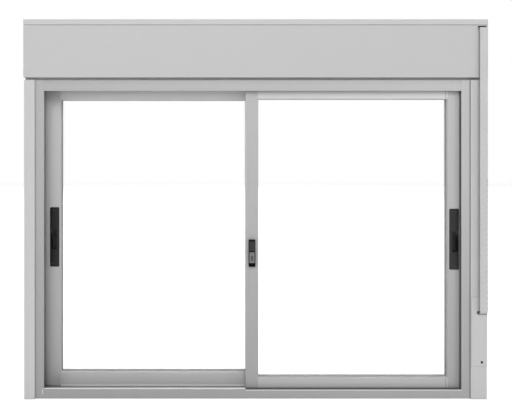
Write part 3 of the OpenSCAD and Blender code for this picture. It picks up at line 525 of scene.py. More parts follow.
    def glass(self, colour):
        """Clear glass that lets light through to what stands behind it, faintly smeared."""
        made = Finish("clear_glass", 0.0)
        shader = made.shader.inputs
        shader["Base Color"].default_value = rgba(colour)
        shader["Transmission Weight"].default_value = 1.0
        shader["IOR"].default_value = 1.45
        smears = scaled_noise(made.tree, made.here, 9.0, 4.0)
        made.feed("Roughness", made.spread(smears, 0.0, 0.012))
        see = made.tree.nodes.new("ShaderNodeBsdfTransparent")
        see.inputs["Color"].default_value = (0.96, 0.97, 0.965, 1.0)
        path = made.tree.nodes.new("ShaderNodeLightPath")
        soft = math_node(made.tree, "MAXIMUM", path.outputs["Is Shadow Ray"], path.outputs["Is Diffuse Ray"])
        mix = add_node(made.tree, "ShaderNodeMixShader", {0: soft, 1: made.shader.outputs[0], 2: see.outputs[0]})
        made.tree.links.new(mix.outputs[0], made.tree.nodes["Material Output"].inputs["Surface"])
        return made.material

    def strap(self, colour):
        """Woven band from its own UV map, u in metres along it and v from 0 to 1 across:
        herringbone ribs, fine threads across it and dark marks at even steps on one edge, which are painted shade of
        the weave."""
        made = Finish("woven_strap", 0.85)
        tree = made.tree
        uv = tree.nodes.new("ShaderNodeUVMap")
        uv.uv_map = "UVMap"
        parts = add_node(tree, "ShaderNodeSeparateXYZ", {0: uv.outputs[0]})
        along, across = parts.outputs[0], parts.outputs[1]
        # ribs slant one way on each half: phase = along / 1.6 mm +- across * 6
        fold = math_node(tree, "PINGPONG", math_node(tree, "MULTIPLY", across, 6.0), 1.0)
        phase = math_node(tree, "ADD", math_node(tree, "MULTIPLY", along, 2 * math.pi / (1.6 * MM)),
                          math_node(tree, "MULTIPLY", fold, 7.0))
        ribs = math_node(tree, "MULTIPLY_ADD", math_node(tree, "SINE", phase), 0.5, 0.5)
        threads = math_node(tree, "MULTIPLY_ADD",
                            math_node(tree, "SINE", math_node(tree, "MULTIPLY", across, 2 * math.pi * 26.0)), 0.5, 0.5)
        weave = math_node(tree, "ADD", math_node(tree, "MULTIPLY", ribs, 0.7), math_node(tree, "MULTIPLY", threads, 0.3))
        tone = place_group(tree, self.tone, Vector=made.here, Color=rgba(colour), Cloud_Scale=25.0,
                           Cloud=0.1, Grain_Scale=1800.0, Grain=0.15)
        woven = tinted(tree, tone["Color"], made.spread(weave, 0.9, 1.06))
        sizes = bpy.context.scene.window_sizes
        # painted shade: dark marks at even steps on one edge, low on the strap, stand for the shade of its weave
        turn = math_node(tree, "FRACT", math_node(tree, "DIVIDE", along, sizes.weave_shade_pitch))
        shade_step = math_node(tree, "LESS_THAN", turn, 0.26)
        edge = math_node(tree, "GREATER_THAN", across, 0.90)
        height = add_node(tree, "ShaderNodeSeparateXYZ", {0: made.here}).outputs[2]
        under_shade_height = math_node(tree, "LESS_THAN", height, sizes.weave_shade_height)
        painted_weave_shade = math_node(tree, "MULTIPLY", math_node(tree, "MULTIPLY", shade_step, edge), under_shade_height)
        mix = add_node(tree, "ShaderNodeMix", {0: painted_weave_shade, 6: woven, 7: (0.1, 0.1, 0.1, 1.0)}, data_type="RGBA")
        made.feed("Base Color", mix.outputs[2])
        made.feed("Roughness", made.spread(weave, 0.75, 0.95))
        made.bump(weave, 0.00025)
        made.shader.inputs["Sheen Weight"].default_value = 0.25
        return made.material

    def coil(self, colour):
        """The strap's turns seen from the side of the coil: rings round the drum's middle."""
        made = Finish("coiled_strap", 0.9)
        low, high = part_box("winder_drum")
        centre = (low + high) / 2
        moved = add_node(made.tree, "ShaderNodeMapping", {"Vector": made.here, "Location": -centre})
        parts = add_node(made.tree, "ShaderNodeSeparateXYZ", {0: moved.outputs[0]})
        radius = math_node(made.tree, "SQRT", math_node(
            made.tree, "ADD", math_node(made.tree, "POWER", math_node(made.tree, "ABSOLUTE", parts.outputs[1]), 2.0),
            math_node(made.tree, "POWER", math_node(made.tree, "ABSOLUTE", parts.outputs[2]), 2.0)))
        rings = math_node(made.tree, "MULTIPLY_ADD", math_node(
            made.tree, "SINE", math_node(made.tree, "MULTIPLY", radius, 2 * math.pi / (1.5 * MM))), 0.5, 0.5)
        tone = place_group(made.tree, self.tone, Vector=made.here, Color=rgba(colour), Cloud_Scale=60.0,
                           Cloud=0.2, Grain_Scale=1500.0, Grain=0.2)
        made.feed("Base Color", tinted(made.tree, tone["Color"], made.spread(rings, 0.45, 1.0)))
        made.bump(rings, 0.0003)
        return made.material


BOOK = {}


def finish_of(name):
    if name not in BOOK:
        BOOK.update(FinishBook(bpy.context.scene.window_finishes).made)
    return BOOK[name]


# ---------------------------------------------------------------- operators

# Each lamp: name, place, side of its square and its share of the key light's power
LAMPS = (
    ("key", (0.0, -4.5, 4.0), 2.6, 0.72),
    ("left_fill", (-4.5, -3.5, 1.4), 2.0, 0.30),
    ("right_fill", (4.5, -3.5, 1.4), 2.0, 0.16),
    ("back_fill", (0.0, 5.0, 3.2), 2.6, 0.85),
)
AIM = (0.0, 0.0, 0.45)


class WINDOW_OT_stage(bpy.types.Operator):
    """Camera, soft light, pale floor and white surroundings"""
    bl_idname = "window.stage"
    bl_label = "Stage"

    def execute(self, context):
        stage = context.scene.window_stage
        front = cad_front()
        camera = bpy.data.cameras.new("camera")
        camera.sensor_width = 36.0
        camera.lens = 36.0 * stage.camera_distance / stage.view_width
        # the photo's frame is 512 by 418 points, and the point straight ahead of the camera is at 216.9, 144.9
        camera.shift_x = (256.0 - 216.9) / 512.0
        camera.shift_y = (144.9 - 209.0) / 512.0
        seat = bpy.data.objects.new("camera", camera)
        seat.location = (stage.camera_x, front - stage.camera_distance, stage.camera_z)
        seat.rotation_euler = (math.radians(90), 0, 0)
        context.scene.collection.objects.link(seat)
        context.scene.camera = seat

        for name, place, size, share in LAMPS:
            lamp = bpy.data.lights.new(name, "AREA")
            lamp.shape = "SQUARE"
            lamp.size = size
            lamp.energy = stage.key_power * share
            stand = bpy.data.objects.new(name, lamp)
            stand.location = place
            stand.rotation_euler = (Vector(AIM) - Vector(place)).to_track_quat("-Z", "Y").to_euler()
            stand.visible_glossy = False
            context.scene.collection.objects.link(stand)

        world = bpy.data.worlds.new("surroundings")
        world.use_nodes = True
        tree = world.node_tree
        path = tree.nodes.new("ShaderNodeLightPath").outputs
        seen = math_node(tree, "MAXIMUM", math_node(tree, "MAXIMUM", path["Is Camera Ray"], path["Is Glossy Ray"]),
                         path["Is Transmission Ray"])
        lit = tree.nodes["Background"]
        lit.inputs["Color"].default_value = (1, 1, 1, 1)
        lit.inputs["Strength"].default_value = stage.world_level
        white = add_node(tree, "ShaderNodeBackground", {"Color": (1, 1, 1, 1), "Strength": 1.0})
        mix = add_node(tree, "ShaderNodeMixShader", {0: seen, 1: lit.outputs[0], 2: white.outputs[0]})
        tree.links.new(mix.outputs[0], tree.nodes["World Output"].inputs["Surface"])
        context.scene.world = world
        context.scene.view_settings.view_transform = "Standard"

        side = 7.0
        corners = np.array([(-side, -side, 0), (side, -side, 0), (side, side, 0), (-side, side, 0)], float)
        floor = mesh_object("floor", corners, [np.array([[0, 1, 2, 3]])])
        floor.data.materials.append(floor_finish())
        return {"FINISHED"}


def floor_finish():
    """Pale floor whose own light, for what the camera sees, lifts it to white outside the shadow."""
    made = Finish("pale_floor", 0.9)
    tree = made.tree
    tone = scaled_noise(tree, made.here, 3.0, 3.0)
    made.feed("Base Color", tinted(tree, (0.86, 0.86, 0.86), made.spread(tone, 0.98, 1.02)))
    path = tree.nodes.new("ShaderNodeLightPath").outputs
    seen = math_node(tree, "MAXIMUM", math_node(tree, "MAXIMUM", path["Is Camera Ray"], path["Is Glossy Ray"]),
                     path["Is Transmission Ray"])
    glow = tree.nodes.new("ShaderNodeEmission")
    tree.links.new(math_node(tree, "MULTIPLY", seen, 0.62), glow.inputs["Strength"])
    total = add_node(tree, "ShaderNodeAddShader", {0: made.shader.outputs[0], 1: glow.outputs[0]})
    tree.links.new(total.outputs[0], tree.nodes["Material Output"].inputs["Surface"])
    return made.material


def cad_front():
    """The front plane of the box."""
    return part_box("box_front_cover")[0].y


class WINDOW_OT_finishes(bpy.types.Operator):
    """Gives every node of the window its finish"""
    bl_idname = "window.finishes"
    bl_label = "Finishes"

    def execute(self, context):
        for name, nodes in NODE_FINISHES.items():
            for node in nodes:
                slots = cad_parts[node].data.materials
                if not slots:
                    slots.append(finish_of(name))
                for i in range(len(slots)):
                    slots[i] = finish_of(name)
        return {"FINISHED"}


def arc_points(centre, radius, start, end, count):
    """Points (y, z) = centre + radius * (cos t, sin t), t running from start to end in degrees."""
    t = np.radians(np.linspace(start, end, count))
    return np.stack([centre[0] + radius * np.cos(t), centre[1] + radius * np.sin(t)], 1)


def even_steps(points, step):
    """The same polyline with points at even distances along it, and their distances."""
    legs = np.linalg.norm(np.diff(points, axis=0), axis=1)
    along = np.concatenate([[0], np.cumsum(legs)])
    count = int(along[-1] / step) + 1
    even = np.linspace(0, along[-1], count)
    return np.stack([np.interp(even, along, points[:, i]) for i in range(points.shape[1])], 1), even


class WINDOW_OT_strap(bpy.types.Operator):
    """The woven lifting strap, from the pulley in the box to the coil in the winder"""
    bl_idname = "window.strap"
    bl_label = "Lifting strap"

    def execute(self, context):
        sizes = context.scene.window_sizes
        t = sizes.strap_thickness
        fit = 0.2 * MM
        low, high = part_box("lifting_strap")
        middle, half = (low.x + high.x) / 2, (high.x - low.x) / 2
        hang_y = low.y + t / 2
        pulley_low, pulley_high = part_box("strap_pulley")
        pulley = ((pulley_low.y + pulley_high.y) / 2, (pulley_low.z + pulley_high.z) / 2)
        pulley_r = (pulley_high.z - pulley_low.z) / 2 - 8 * MM
        drum_low, drum_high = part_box("winder_drum")
        drum = ((drum_low.y + drum_high.y) / 2, (drum_low.z + drum_high.z) / 2)
        coil_r = (drum_high.z - drum_low.z) / 2 + fit + t / 2
        slot_low, slot_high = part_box("strap_inlet")
        upper = (slot_low.z + slot_high.z) / 2
        mouth_low, mouth_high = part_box("strap_mouth")
        lower = (mouth_low.z + mouth_high.z) / 2
        bend, inner = 5 * MM, 4 * MM
        line = np.concatenate([
            arc_points(pulley, pulley_r + fit + t / 2, -60, 88, 90),
            arc_points((hang_y + bend, upper - bend), bend, 92, 176, 14),
            arc_points((hang_y + bend, lower + bend), bend, 184, 266, 14),
            arc_points((drum[0] - coil_r - inner, lower - inner), inner, 86, 0, 12),
            arc_points(drum, coil_r, 180, 330, 70),
        ])
        line, along = even_steps(line, sizes.strap_step)
        tangent = np.gradient(line, axis=0)
        tangent /= np.linalg.norm(tangent, axis=1)[:, None]
        n = len(line)
        path = np.column_stack([np.full(n, middle), line])
        across = np.tile([1.0, 0, 0], (n, 1))
        up = np.column_stack([np.zeros(n), -tangent[:, 1], tangent[:, 0]])
        # section: a = half * cos^0.4 and b = t / 2 * sin^0.9 - 0.4 mm * (a / half)^2, a band with thin
        # edges that cup towards the wall
        turn = np.linspace(0, 2 * np.pi, 36, endpoint=False)
        a = half * np.sign(np.cos(turn)) * np.abs(np.cos(turn)) ** 0.4
        b = t / 2 * np.sign(np.sin(turn)) * np.abs(np.sin(turn)) ** 0.9 - 0.4 * MM * (a / half) ** 2
        points, faces = swept_shell(np.column_stack([a, b]), path, across, up)
        v = (a + half) / (2 * half)
        uv = np.stack(np.broadcast_arrays(along[:, None], v[None, :]), -1).reshape(-1, 2)
        uv = np.concatenate([uv, [[0, 0.5], [along[-1], 0.5]]])
        piece = mesh_object("strap_band", points, faces, uv=uv)
        dressed(piece, finish_of("woven_strap"), "woven_strap", "lifting_strap")
        return {"FINISHED"}


def screw_shell(place, out, radius, turn=0.0):
    """A domed head with a cross recess on a polar grid: height = dome(r) - recess where the
    point lies in the cross. out is the direction that the head faces."""
    out = np.asarray(out, float)
    side = np.cross(out, [0, 0, 1.0])
    side /= np.linalg.norm(side)
    up = np.cross(side, out)
    rings, spokes = 9, 32
    r = radius * np.array([0.0001, 0.14, 0.24, 0.36, 0.52, 0.7, 0.86, 0.96, 1.0])
    dome = radius * 0.55 * np.array([1, 0.995, 0.985, 0.96, 0.89, 0.76, 0.55, 0.3, 0.0])
    t = np.linspace(0, 2 * np.pi, spokes, endpoint=False)
    rr, tt = np.meshgrid(r, t, indexing="ij")
    x, y = rr * np.cos(tt), rr * np.sin(tt)
    bar = np.minimum(np.abs(x), np.abs(y)) < radius * 0.13
    recess = np.where(bar & (rr < radius * 0.6), radius * 0.42, 0.0)
    h = np.repeat(dome[:, None], spokes, 1) - recess
    ca, sa = math.cos(turn), math.sin(turn)
    xs, ys = ca * x - sa * y, sa * x + ca * y
    points = (np.asarray(place, float) + xs[..., None] * side + ys[..., None] * up + h[..., None] * out).reshape(-1, 3)
    centre = np.asarray(place, float) + (dome[0] - radius * 0.42) * out
    base = np.asarray(place, float)
    points = np.concatenate([points, [centre], [base]])
    first, last = np.arange(spokes), np.arange(spokes) + (rings - 1) * spokes
    return points, [grid_quads(rings, spokes, close_cols=True), fan(first, rings * spokes),
                    fan(last, rings * spokes + 1)]


class WINDOW_OT_screws(bpy.types.Operator):
    """Cross-head screws of the winder cover, the end caps, the guides and the box's rear panel"""
    bl_idname = "window.screws"
    bl_label = "Screws"

    def execute(self, context):
        r = context.scene.window_sizes.screw_radius
        front, back = (0, -1, 0), (0, 1, 0)
        shells = []
        strap_low, strap_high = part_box("lifting_strap")
        strap_x = (strap_low.x + strap_high.x) / 2
        low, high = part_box("winder_cover")
        shells += [screw_shell((strap_x, low.y, z), front, r, 0.4 + z) for z in (low.z + 10 * MM, high.z - 10 * MM)]
        # painted shade: the winder cover's screws are dark, standing for their shaded cross recesses
        piece = mesh_object("winder_screws", *join_shells(shells))
        dressed(piece, finish_of("dark_plastic_and_shade"), "zinc_steel")

        shells = []
        for node, out in (("left_end_cap", (-1, 0, 0)), ("right_end_cap", (1, 0, 0))):
            low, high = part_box(node)
            x = (low.x if out[0] < 0 else high.x) - out[0] * 1.7 * MM
            for y in (low.y + 14 * MM, high.y - 14 * MM):
                for z in (low.z + 14 * MM, high.z - 14 * MM):
                    shells.append(screw_shell((x, y, z), out, r, y * 40 + z * 9))
        piece = mesh_object("end_cap_screws", *join_shells(shells))
        dressed(piece, finish_of("zinc_steel"), "zinc_steel")

        shells = []
        for node in ("left_guide", "right_guide"):
            low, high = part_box(node)
            outer = 6.5 * MM if node == "left_guide" else -13 * MM
            x = (low.x if node == "left_guide" else high.x) + outer
            for z in np.linspace(low.z + 60 * MM, high.z - 60 * MM, 4):
                shells.append(screw_shell((x, high.y, z), back, r, z * 17))
        low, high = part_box("box_rear_panel")
        for x in np.linspace(low.x + 30 * MM, high.x - 30 * MM, 7):
            for z in (low.z + 12 * MM, high.z - 12 * MM):
                shells.append(screw_shell((x, high.y - 1.7 * MM, z), back, r, x * 23))
        piece = mesh_object("rear_screws", *join_shells(shells))
        dressed(piece, finish_of("zinc_steel"), "zinc_steel")
        return {"FINISHED"}


def lip_shell(x0, x1, z0, z1, y, out, width, height):
    """A small rounded lip carried round the four sides of the glass: its section is a quarter
    round from the profile's edge to the glass, and the corners are mitred."""
    t = np.linspace(0, np.pi / 2, 6)
    inward = np.concatenate([[-0.3 * MM], width * np.sin(t), [width, -0.3 * MM]])
    depth = np.concatenate([[height], height * np.cos(t) * 0.9 + 0.1 * height, [0, 0]])
    corners = np.array([(x0, z0, 1, 1), (x1, z0, -1, 1), (x1, z1, -1, -1), (x0, z1, 1, -1)], float)
    grid = np.empty((len(inward), 4, 3))
    grid[..., 0] = corners[:, 0] + inward[:, None] * corners[:, 2]
    grid[..., 1] = y + out * depth[:, None]
    grid[..., 2] = corners[:, 1] + inward[:, None] * corners[:, 3]
    return grid.reshape(-1, 3), [grid_quads(len(inward), 4, close_rows=True, close_cols=True)]


class WINDOW_OT_gaskets(bpy.types.Operator):
    """Rubber lips that lie on both faces of the glass"""
    bl_idname = "window.gaskets"
    bl_label = "Gasket lips"

    def execute(self, context):
        sizes = context.scene.window_sizes
        hidden = 8.5 * MM
        shells = []
        for node in ("left_glass", "right_glass"):
            low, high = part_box(node)
            edges = (low.x + hidden, high.x - hidden, low.z + hidden, high.z - hidden)
            shells.append(lip_shell(*edges, low.y, -1, sizes.lip_width, sizes.lip_height))
            shells.append(lip_shell(*edges, high.y, 1, sizes.lip_width, sizes.lip_height))
        piece = mesh_object("gasket_lips", *join_shells(shells), sharp=50.0)
        dressed(piece, finish_of("grey_rubber"), "grey_rubber")
        return {"FINISHED"}


def pile_shells(low, high, fins, reach_axis, thick_axis):
    """A strip of fibre fins: each fin is a thin closed sheet along Z whose free edge wanders,
    edge = reach + 0.35 mm * (sin(830 z + k) + 0.6 sin(2170 z + 2 k))."""
    z = np.linspace(low[2], high[2], 260)
    shells = []
    size = high[thick_axis] - low[thick_axis]
    for k in range(fins):
        mid = low[thick_axis] + size * (k + 0.5) / fins
        half = size / fins * 0.36
        sway = 0.16 * size / fins * np.sin(520 * z + 2.4 * k)
        edge = -0.12 * MM * (1 + np.sin(830 * z + k) + 0.6 * np.sin(2170 * z + 2 * k))
        a = np.stack([np.full_like(z, low[reach_axis]), high[reach_axis] + edge,
                      high[reach_axis] + edge, np.full_like(z, low[reach_axis])], 1)
        b = np.stack([np.full_like(z, mid - half), mid - half * 0.7 + sway, mid + half * 0.7 + sway,
                      np.full_like(z, mid + half)], 1)
        rings = np.empty((len(z), 4, 3))
        rings[..., reach_axis] = a
        rings[..., thick_axis] = b
        rings[..., 2] = z[:, None]
        n = len(z)
        points = rings.reshape(-1, 3)
        ends = np.array([[0, 1, 2, 3], [4 * n - 1, 4 * n - 2, 4 * n - 3, 4 * n - 4]])
        shells.append((points, [grid_quads(n, 4, close_cols=True), ends]))
    return shells


class WINDOW_OT_pile(bpy.types.Operator):
    """Pile strips beside the sashes and in the mouths of the guides"""
    bl_idname = "window.pile"
    bl_label = "Pile strips"

    def execute(self, context):
        fins = context.scene.window_sizes.pile_fins
        for name, node, reach, thick in (("sash_pile", "sash_brushes", 0, 1), ("guide_pile", "guide_brushes", 1, 0)):
            shells = []
            for low, high in loose_boxes(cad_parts[node]):
                shells += pile_shells(low, high, fins, reach, thick)
            piece = mesh_object(name, *join_shells(shells), sharp=40.0)
            dressed(piece, finish_of("grey_pile"), "grey_pile", node)
        return {"FINISHED"}


def loose_boxes(node):
    """Lowest and highest corner of each separate solid of a node's mesh."""
    work = bmesh.new()
    work.from_mesh(node.data)
    bmesh.ops.remove_doubles(work, verts=work.verts, dist=1e-6)
    work.verts.ensure_lookup_table()
    left = set(work.verts)
    boxes = []
    while left:
        seed = left.pop()
        found, queue = [seed], [seed]
        while queue:
            for edge in queue.pop().link_edges:
                for other in edge.verts:
                    if other in left:
                        left.discard(other)
                        found.append(other)
                        queue.append(other)
        co = np.array([v.co for v in found])
        boxes.append((co.min(0), co.max(0)))
    work.free()
    return sorted(boxes, key=lambda b: tuple(b[0]))


def smooth_step(x, a, b):
    """0 below a, 1 above b, and 3 s^2 - 2 s^3 between."""
    s = np.clip((x - a) / (b - a), 0, 1)
    return s * s * (3 - 2 * s)


def pull_depth(u, v, u0, u1, v0, v1, depth, wall):
    """Depth of the scoop: steep at its foot and sides, and rising slowly towards its top."""
    across = smooth_step(u, u0, u0 + wall) * smooth_step(-u, -u1, -u1 + wall)
    foot = smooth_step(v, v0, v0 + wall)
    top = smooth_step(-v, -v1, -v1 + 0.55 * (v1 - v0))
    return depth * across * foot * top


def pull_shell(low, high, mirrored):
    """A pull as a shell between two height fields over the plate: the front has the rounded rim, the
    scoop and two thumb ridges under it, and the back is the same scoop with its wall added."""
    width, height = high[0] - low[0], high[2] - low[2]
    plate = 1.6 * MM
    u = np.unique(np.concatenate([np.linspace(0, 2 * MM, 7), np.linspace(2 * MM, width - 2 * MM, 44),
                                  np.linspace(width - 2 * MM, width, 7)]))
    v = np.unique(np.concatenate([np.linspace(0, 2 * MM, 7), np.linspace(2 * MM, height - 2 * MM, 190),
                                  np.linspace(height - 2 * MM, height, 7)]))
    uu, vv = np.meshgrid(u, v, indexing="ij")
    inset = np.minimum(np.minimum(uu, width - uu), np.minimum(vv, height - vv))
    rim = 1.2 * MM
    crown = plate - rim + np.sqrt(np.maximum(rim ** 2 - np.maximum(rim - inset, 0) ** 2, 0))
    scoop = (1.0 * MM, 18.0 * MM, 46 * MM, 106 * MM)
    depth = pull_depth(uu, vv, *scoop, 11.6 * MM, 4.0 * MM)
    ridges = 0.9 * MM * (smooth_step(np.sin((vv - 37 * MM) * 2 * np.pi / (4.2 * MM)), 0.2, 0.9)
                         * smooth_step(vv, 37 * MM, 37.5 * MM) * smooth_step(-vv, -45.5 * MM, -45 * MM)
                         * smooth_step(uu, 4 * MM, 5 * MM) * smooth_step(-uu, -17 * MM, -16 * MM))
    front = crown + ridges - depth
    wide = (scoop[0] - 0.9 * MM, scoop[1] + 0.9 * MM, scoop[2] - 0.9 * MM, scoop[3] + 0.9 * MM)
    back = -np.maximum(pull_depth(uu, vv, *wide, 12.5 * MM, 3.8 * MM) - plate, 0)
    back = np.minimum(back, front - 0.5 * MM)
    back = np.where(inset <= 0, 0, back)
    # plate corners rounded: points beyond the corner circle are pulled onto it
    corner = 3 * MM
    cu = np.clip(uu, corner, width - corner)
    cv = np.clip(vv, corner, height - corner)
    du, dv = uu - cu, vv - cv
    reach = np.hypot(du, dv)
    square = np.maximum(np.abs(du), np.abs(dv))
    shrink = np.where(reach > 0, square / np.maximum(reach, 1e-9), 1.0)
    uu, vv = cu + du * shrink, cv + dv * shrink
    x = high[0] - uu if mirrored else low[0] + uu
    z = low[2] + vv
    face = low[1] + plate
    rows, cols = uu.shape
    sheet = lambda h: np.stack([x, face - h, z], -1).reshape(-1, 3)
    points = np.concatenate([sheet(front), sheet(back)])
    n = rows * cols
    index = np.arange(n).reshape(rows, cols)
    border = np.concatenate([index[0, :-1], index[:-1, -1], index[-1, :0:-1], index[:0:-1, 0]])
    nxt = np.roll(border, -1)
    skirt = np.stack([border, nxt, nxt + n, border + n], 1)
    quads = grid_quads(rows, cols)
    return points, [quads, quads[:, ::-1] + n, skirt]


class WINDOW_OT_pulls(bpy.types.Operator):
    """The two recessed pulls with their scoops and screws"""
    bl_idname = "window.pulls"
    bl_label = "Recessed pulls"

    def execute(self, context):
        screws = []
        for node, mirrored in (("left_pull", False), ("right_pull", True)):
            low, high = (np.array(corner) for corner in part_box(node))
            piece = mesh_object(node + "_moulded", *pull_shell(low, high, mirrored), sharp=60.0)
            dressed(piece, finish_of("black_plastic"), "black_plastic", node)
            x = high[0] - 8.75 * MM if mirrored else low[0] + 8.75 * MM
            for z in (low[2] + 9 * MM, high[2] - 7.5 * MM):
                screws.append(screw_shell((x, low[1], z), (0, -1, 0), 2.4 * MM, z * 7))
        piece = mesh_object("pull_screws", *join_shells(screws))
        dressed(piece, finish_of("dark_plastic_and_shade"), "zinc_steel")
        return {"FINISHED"}


def dome_shell(place, half_a, half_b, height, side, up, out):
    """An oval cap: points at rho * (half_a cos t, half_b sin t), raised by height * sqrt(1 - rho^4)."""
    place, side, up, out = (np.asarray(v, float) for v in (place, side, up, out))
    rho = np.array([0.02, 0.3, 0.55, 0.75, 0.88, 0.95, 0.985, 1.0])
    t = np.linspace(0, 2 * np.pi, 28, endpoint=False)
    rr, tt = np.meshgrid(rho, t, indexing="ij")
    points = (place + (rr * half_a * np.cos(tt))[..., None] * side + (rr * half_b * np.sin(tt))[..., None] * up
              + (height * np.sqrt(np.maximum(1 - rr ** 4, 0)))[..., None] * out).reshape(-1, 3)
    n = points.shape[0]
    points = np.concatenate([points, [place + height * out], [place]])
    ring = np.arange(28)
    return points, [grid_quads(len(rho), 28, close_cols=True), fan(ring, n), fan(ring + n - 28, n + 1)]


class WINDOW_OT_plugs(bpy.types.Operator):
    """Oval plug at the foot of the left jamb and drain caps on the sill's outer wall"""
    bl_idname = "window.plugs"
    bl_label = "Plugs and drain caps"

    def execute(self, context):
        side, up = (1, 0, 0), (0, 0, 1)
        shells = []
        low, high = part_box("left_jamb")
        shells.append(dome_shell((low.x + 19.2 * MM, low.y, 19 * MM), 2.4 * MM, 7 * MM, 0.8 * MM, side, up, (0, -1, 0)))
        piece = mesh_object("jamb_plugs", *join_shells(shells))
        dressed(piece, finish_of("cap_plastic"), "grey_plastic")
        shells = []
        low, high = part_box("sill")
        for x in (-0.36, -0.007, 0.35):
            shells.append(dome_shell((x, high.y, 8 * MM), 16 * MM, 5 * MM, 2.2 * MM, side, up, (0, 1, 0)))
        piece = mesh_object("drain_caps", *join_shells(shells))
        dressed(piece, finish_of("black_plastic"), "black_plastic")
        return {"FINISHED"}


def pad_shell(x0, x1, z0, z1, y, height, rim):
    """A pad on a plane that faces the room: its outline steps inwards by rim * (1 - cos t) while it
    rises by height * sin t."""
    t = np.linspace(0, np.pi / 2, 5)
    inset = np.concatenate([[0], rim * (1 - np.cos(t))])
    rise = np.concatenate([[-0.2 * MM], height * np.sin(t)])
    corners = np.array([(x0, z0, 1, 1), (x1, z0, -1, 1), (x1, z1, -1, -1), (x0, z1, 1, -1)], float)
    grid = np.empty((len(inset), 4, 3))
    grid[..., 0] = corners[:, 0] + inset[:, None] * corners[:, 2]
    grid[..., 1] = y - rise[:, None]
    grid[..., 2] = corners[:, 1] + inset[:, None] * corners[:, 3]
    n = 4 * len(inset)
    ends = np.array([[3, 2, 1, 0], [n - 4, n - 3, n - 2, n - 1]])
    return grid.reshape(-1, 3), [grid_quads(len(inset), 4, close_cols=True), ends]


class WINDOW_OT_latch(bpy.types.Operator):
    """Bars, thumb ribs and frame of the latch, a bar of painted shadow beside the slider, painted shade in the slider's
    groove and at the upper slot, and the joints' dark lines with a strip of painted shadow under the winder cover
    """
    bl_idname = "window.latch"
    bl_label = "Latch and joints"

    def execute(self, context):
        low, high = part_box("latch_body")
        slide_low, slide_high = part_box("latch_slider")
        bars = [
            (low.x, high.x, high.z - 3.3 * MM, high.z - 0.1 * MM, 0.5 * MM),
            (low.x, high.x, slide_high.z + 0.6 * MM, slide_high.z + 3.2 * MM, 0.5 * MM),
            (low.x, high.x, low.z + 0.1 * MM, slide_low.z - 0.4 * MM, 0.5 * MM),
            # painted shadow: the black bar on the right of the slider
            (slide_high.x + 0.2 * MM, high.x, slide_low.z, slide_high.z, 0.5 * MM),
            (low.x, low.x + 1.4 * MM, slide_high.z + 3.4 * MM, high.z - 5 * MM, 0.3 * MM),
            (high.x - 1.4 * MM, high.x, slide_high.z + 3.4 * MM, high.z - 5 * MM, 0.3 * MM),
        ]
        shells = [pad_shell(x0, x1, z0, z1, low.y, rise, 0.3 * MM) for x0, x1, z0, z1, rise in bars]
        dressed(mesh_object("latch_bars_and_slider_shadow", *join_shells(shells)), finish_of("deep_black_and_shade"), "black_plastic")

        ribs = np.linspace(low.x + 2.6 * MM, high.x - 2.6 * MM, 6)
        shells = [pad_shell(x - 0.7 * MM, x + 0.7 * MM, slide_high.z + 4 * MM, high.z - 5 * MM, low.y, 0.6 * MM, 0.5 * MM)
                  for x in ribs]
        shells.append(pad_shell(low.x + 0.6 * MM, high.x - 0.6 * MM, high.z - 4.8 * MM, high.z - 3.7 * MM, low.y,
                                0.6 * MM, 0.4 * MM))
        dressed(mesh_object("latch_ribs", *join_shells(shells)), finish_of("dark_plastic_and_shade"), "black_plastic")

        # painted shade: a dark pad for the groove in the slider; below, a strip of painted shadow for the gap under the
        # winder cover and a black pad of painted shadow for the opening of the upper slot
        front = slide_low.y
        mid = (slide_low.x + slide_high.x) / 2
        shells = [pad_shell(mid - 1.5 * MM, mid + 1.5 * MM, slide_low.z + 5 * MM, slide_low.z + 19 * MM, front,
                            0.05 * MM, 0.05 * MM)]
        dressed(mesh_object("slider_groove_shade", *join_shells(shells)), finish_of("groove_shade_plastic"), "black_plastic")

        low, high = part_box("winder_cover")
        # painted shadow: a dark strip under the winder cover's lower edge
        shells = [pad_shell(low.x + 7.5 * MM, high.x, low.z - 0.9 * MM, low.z - 0.1 * MM, high.y, 0.3 * MM, 0.1 * MM)]
        rail_low, rail_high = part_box("right_sash_bottom_rail")
        seam = rail_high.x - 6 * MM
        shells.append(pad_shell(seam, seam + 0.9 * MM, rail_low.z + 9 * MM, rail_high.z - 0.5 * MM, rail_low.y,
                                0.03 * MM, 0.02 * MM))
        rail_low, rail_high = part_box("right_sash_top_rail")
        shells.append(pad_shell(seam, seam + 0.9 * MM, rail_low.z + 0.5 * MM, rail_high.z - 6 * MM, rail_low.y,
                                0.03 * MM, 0.02 * MM))
        # dark joint between the right column and the jamb, made darker as painted shade of the column's step
        column_low, column_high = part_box("right_column")
        jamb_low, jamb_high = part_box("right_jamb")
        shells.append(pad_shell(column_low.x - 1.1 * MM, column_low.x, 1 * MM, column_high.z - 1 * MM,
                                jamb_low.y, 0.15 * MM, 0.1 * MM))
        dressed(mesh_object("joint_lines_and_shadow_gaps", *join_shells(shells)), finish_of("joint_filler_and_shade"), "black_rubber")

        # painted shadow: a black pad at the upper slot for its shaded opening
        low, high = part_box("strap_inlet")
        front = cad_front()
        top = high.z + 1.4 * MM
        shells = [pad_shell(low.x + 1.5 * MM, high.x - 1.5 * MM, top - 2.6 * MM, top, front, 0.35 * MM, 0.2 * MM)]
        dressed(mesh_object("slot_shadow_pad", *join_shells(shells)), finish_of("deep_black_and_shade"), "black_plastic")
        return {"FINISHED"}


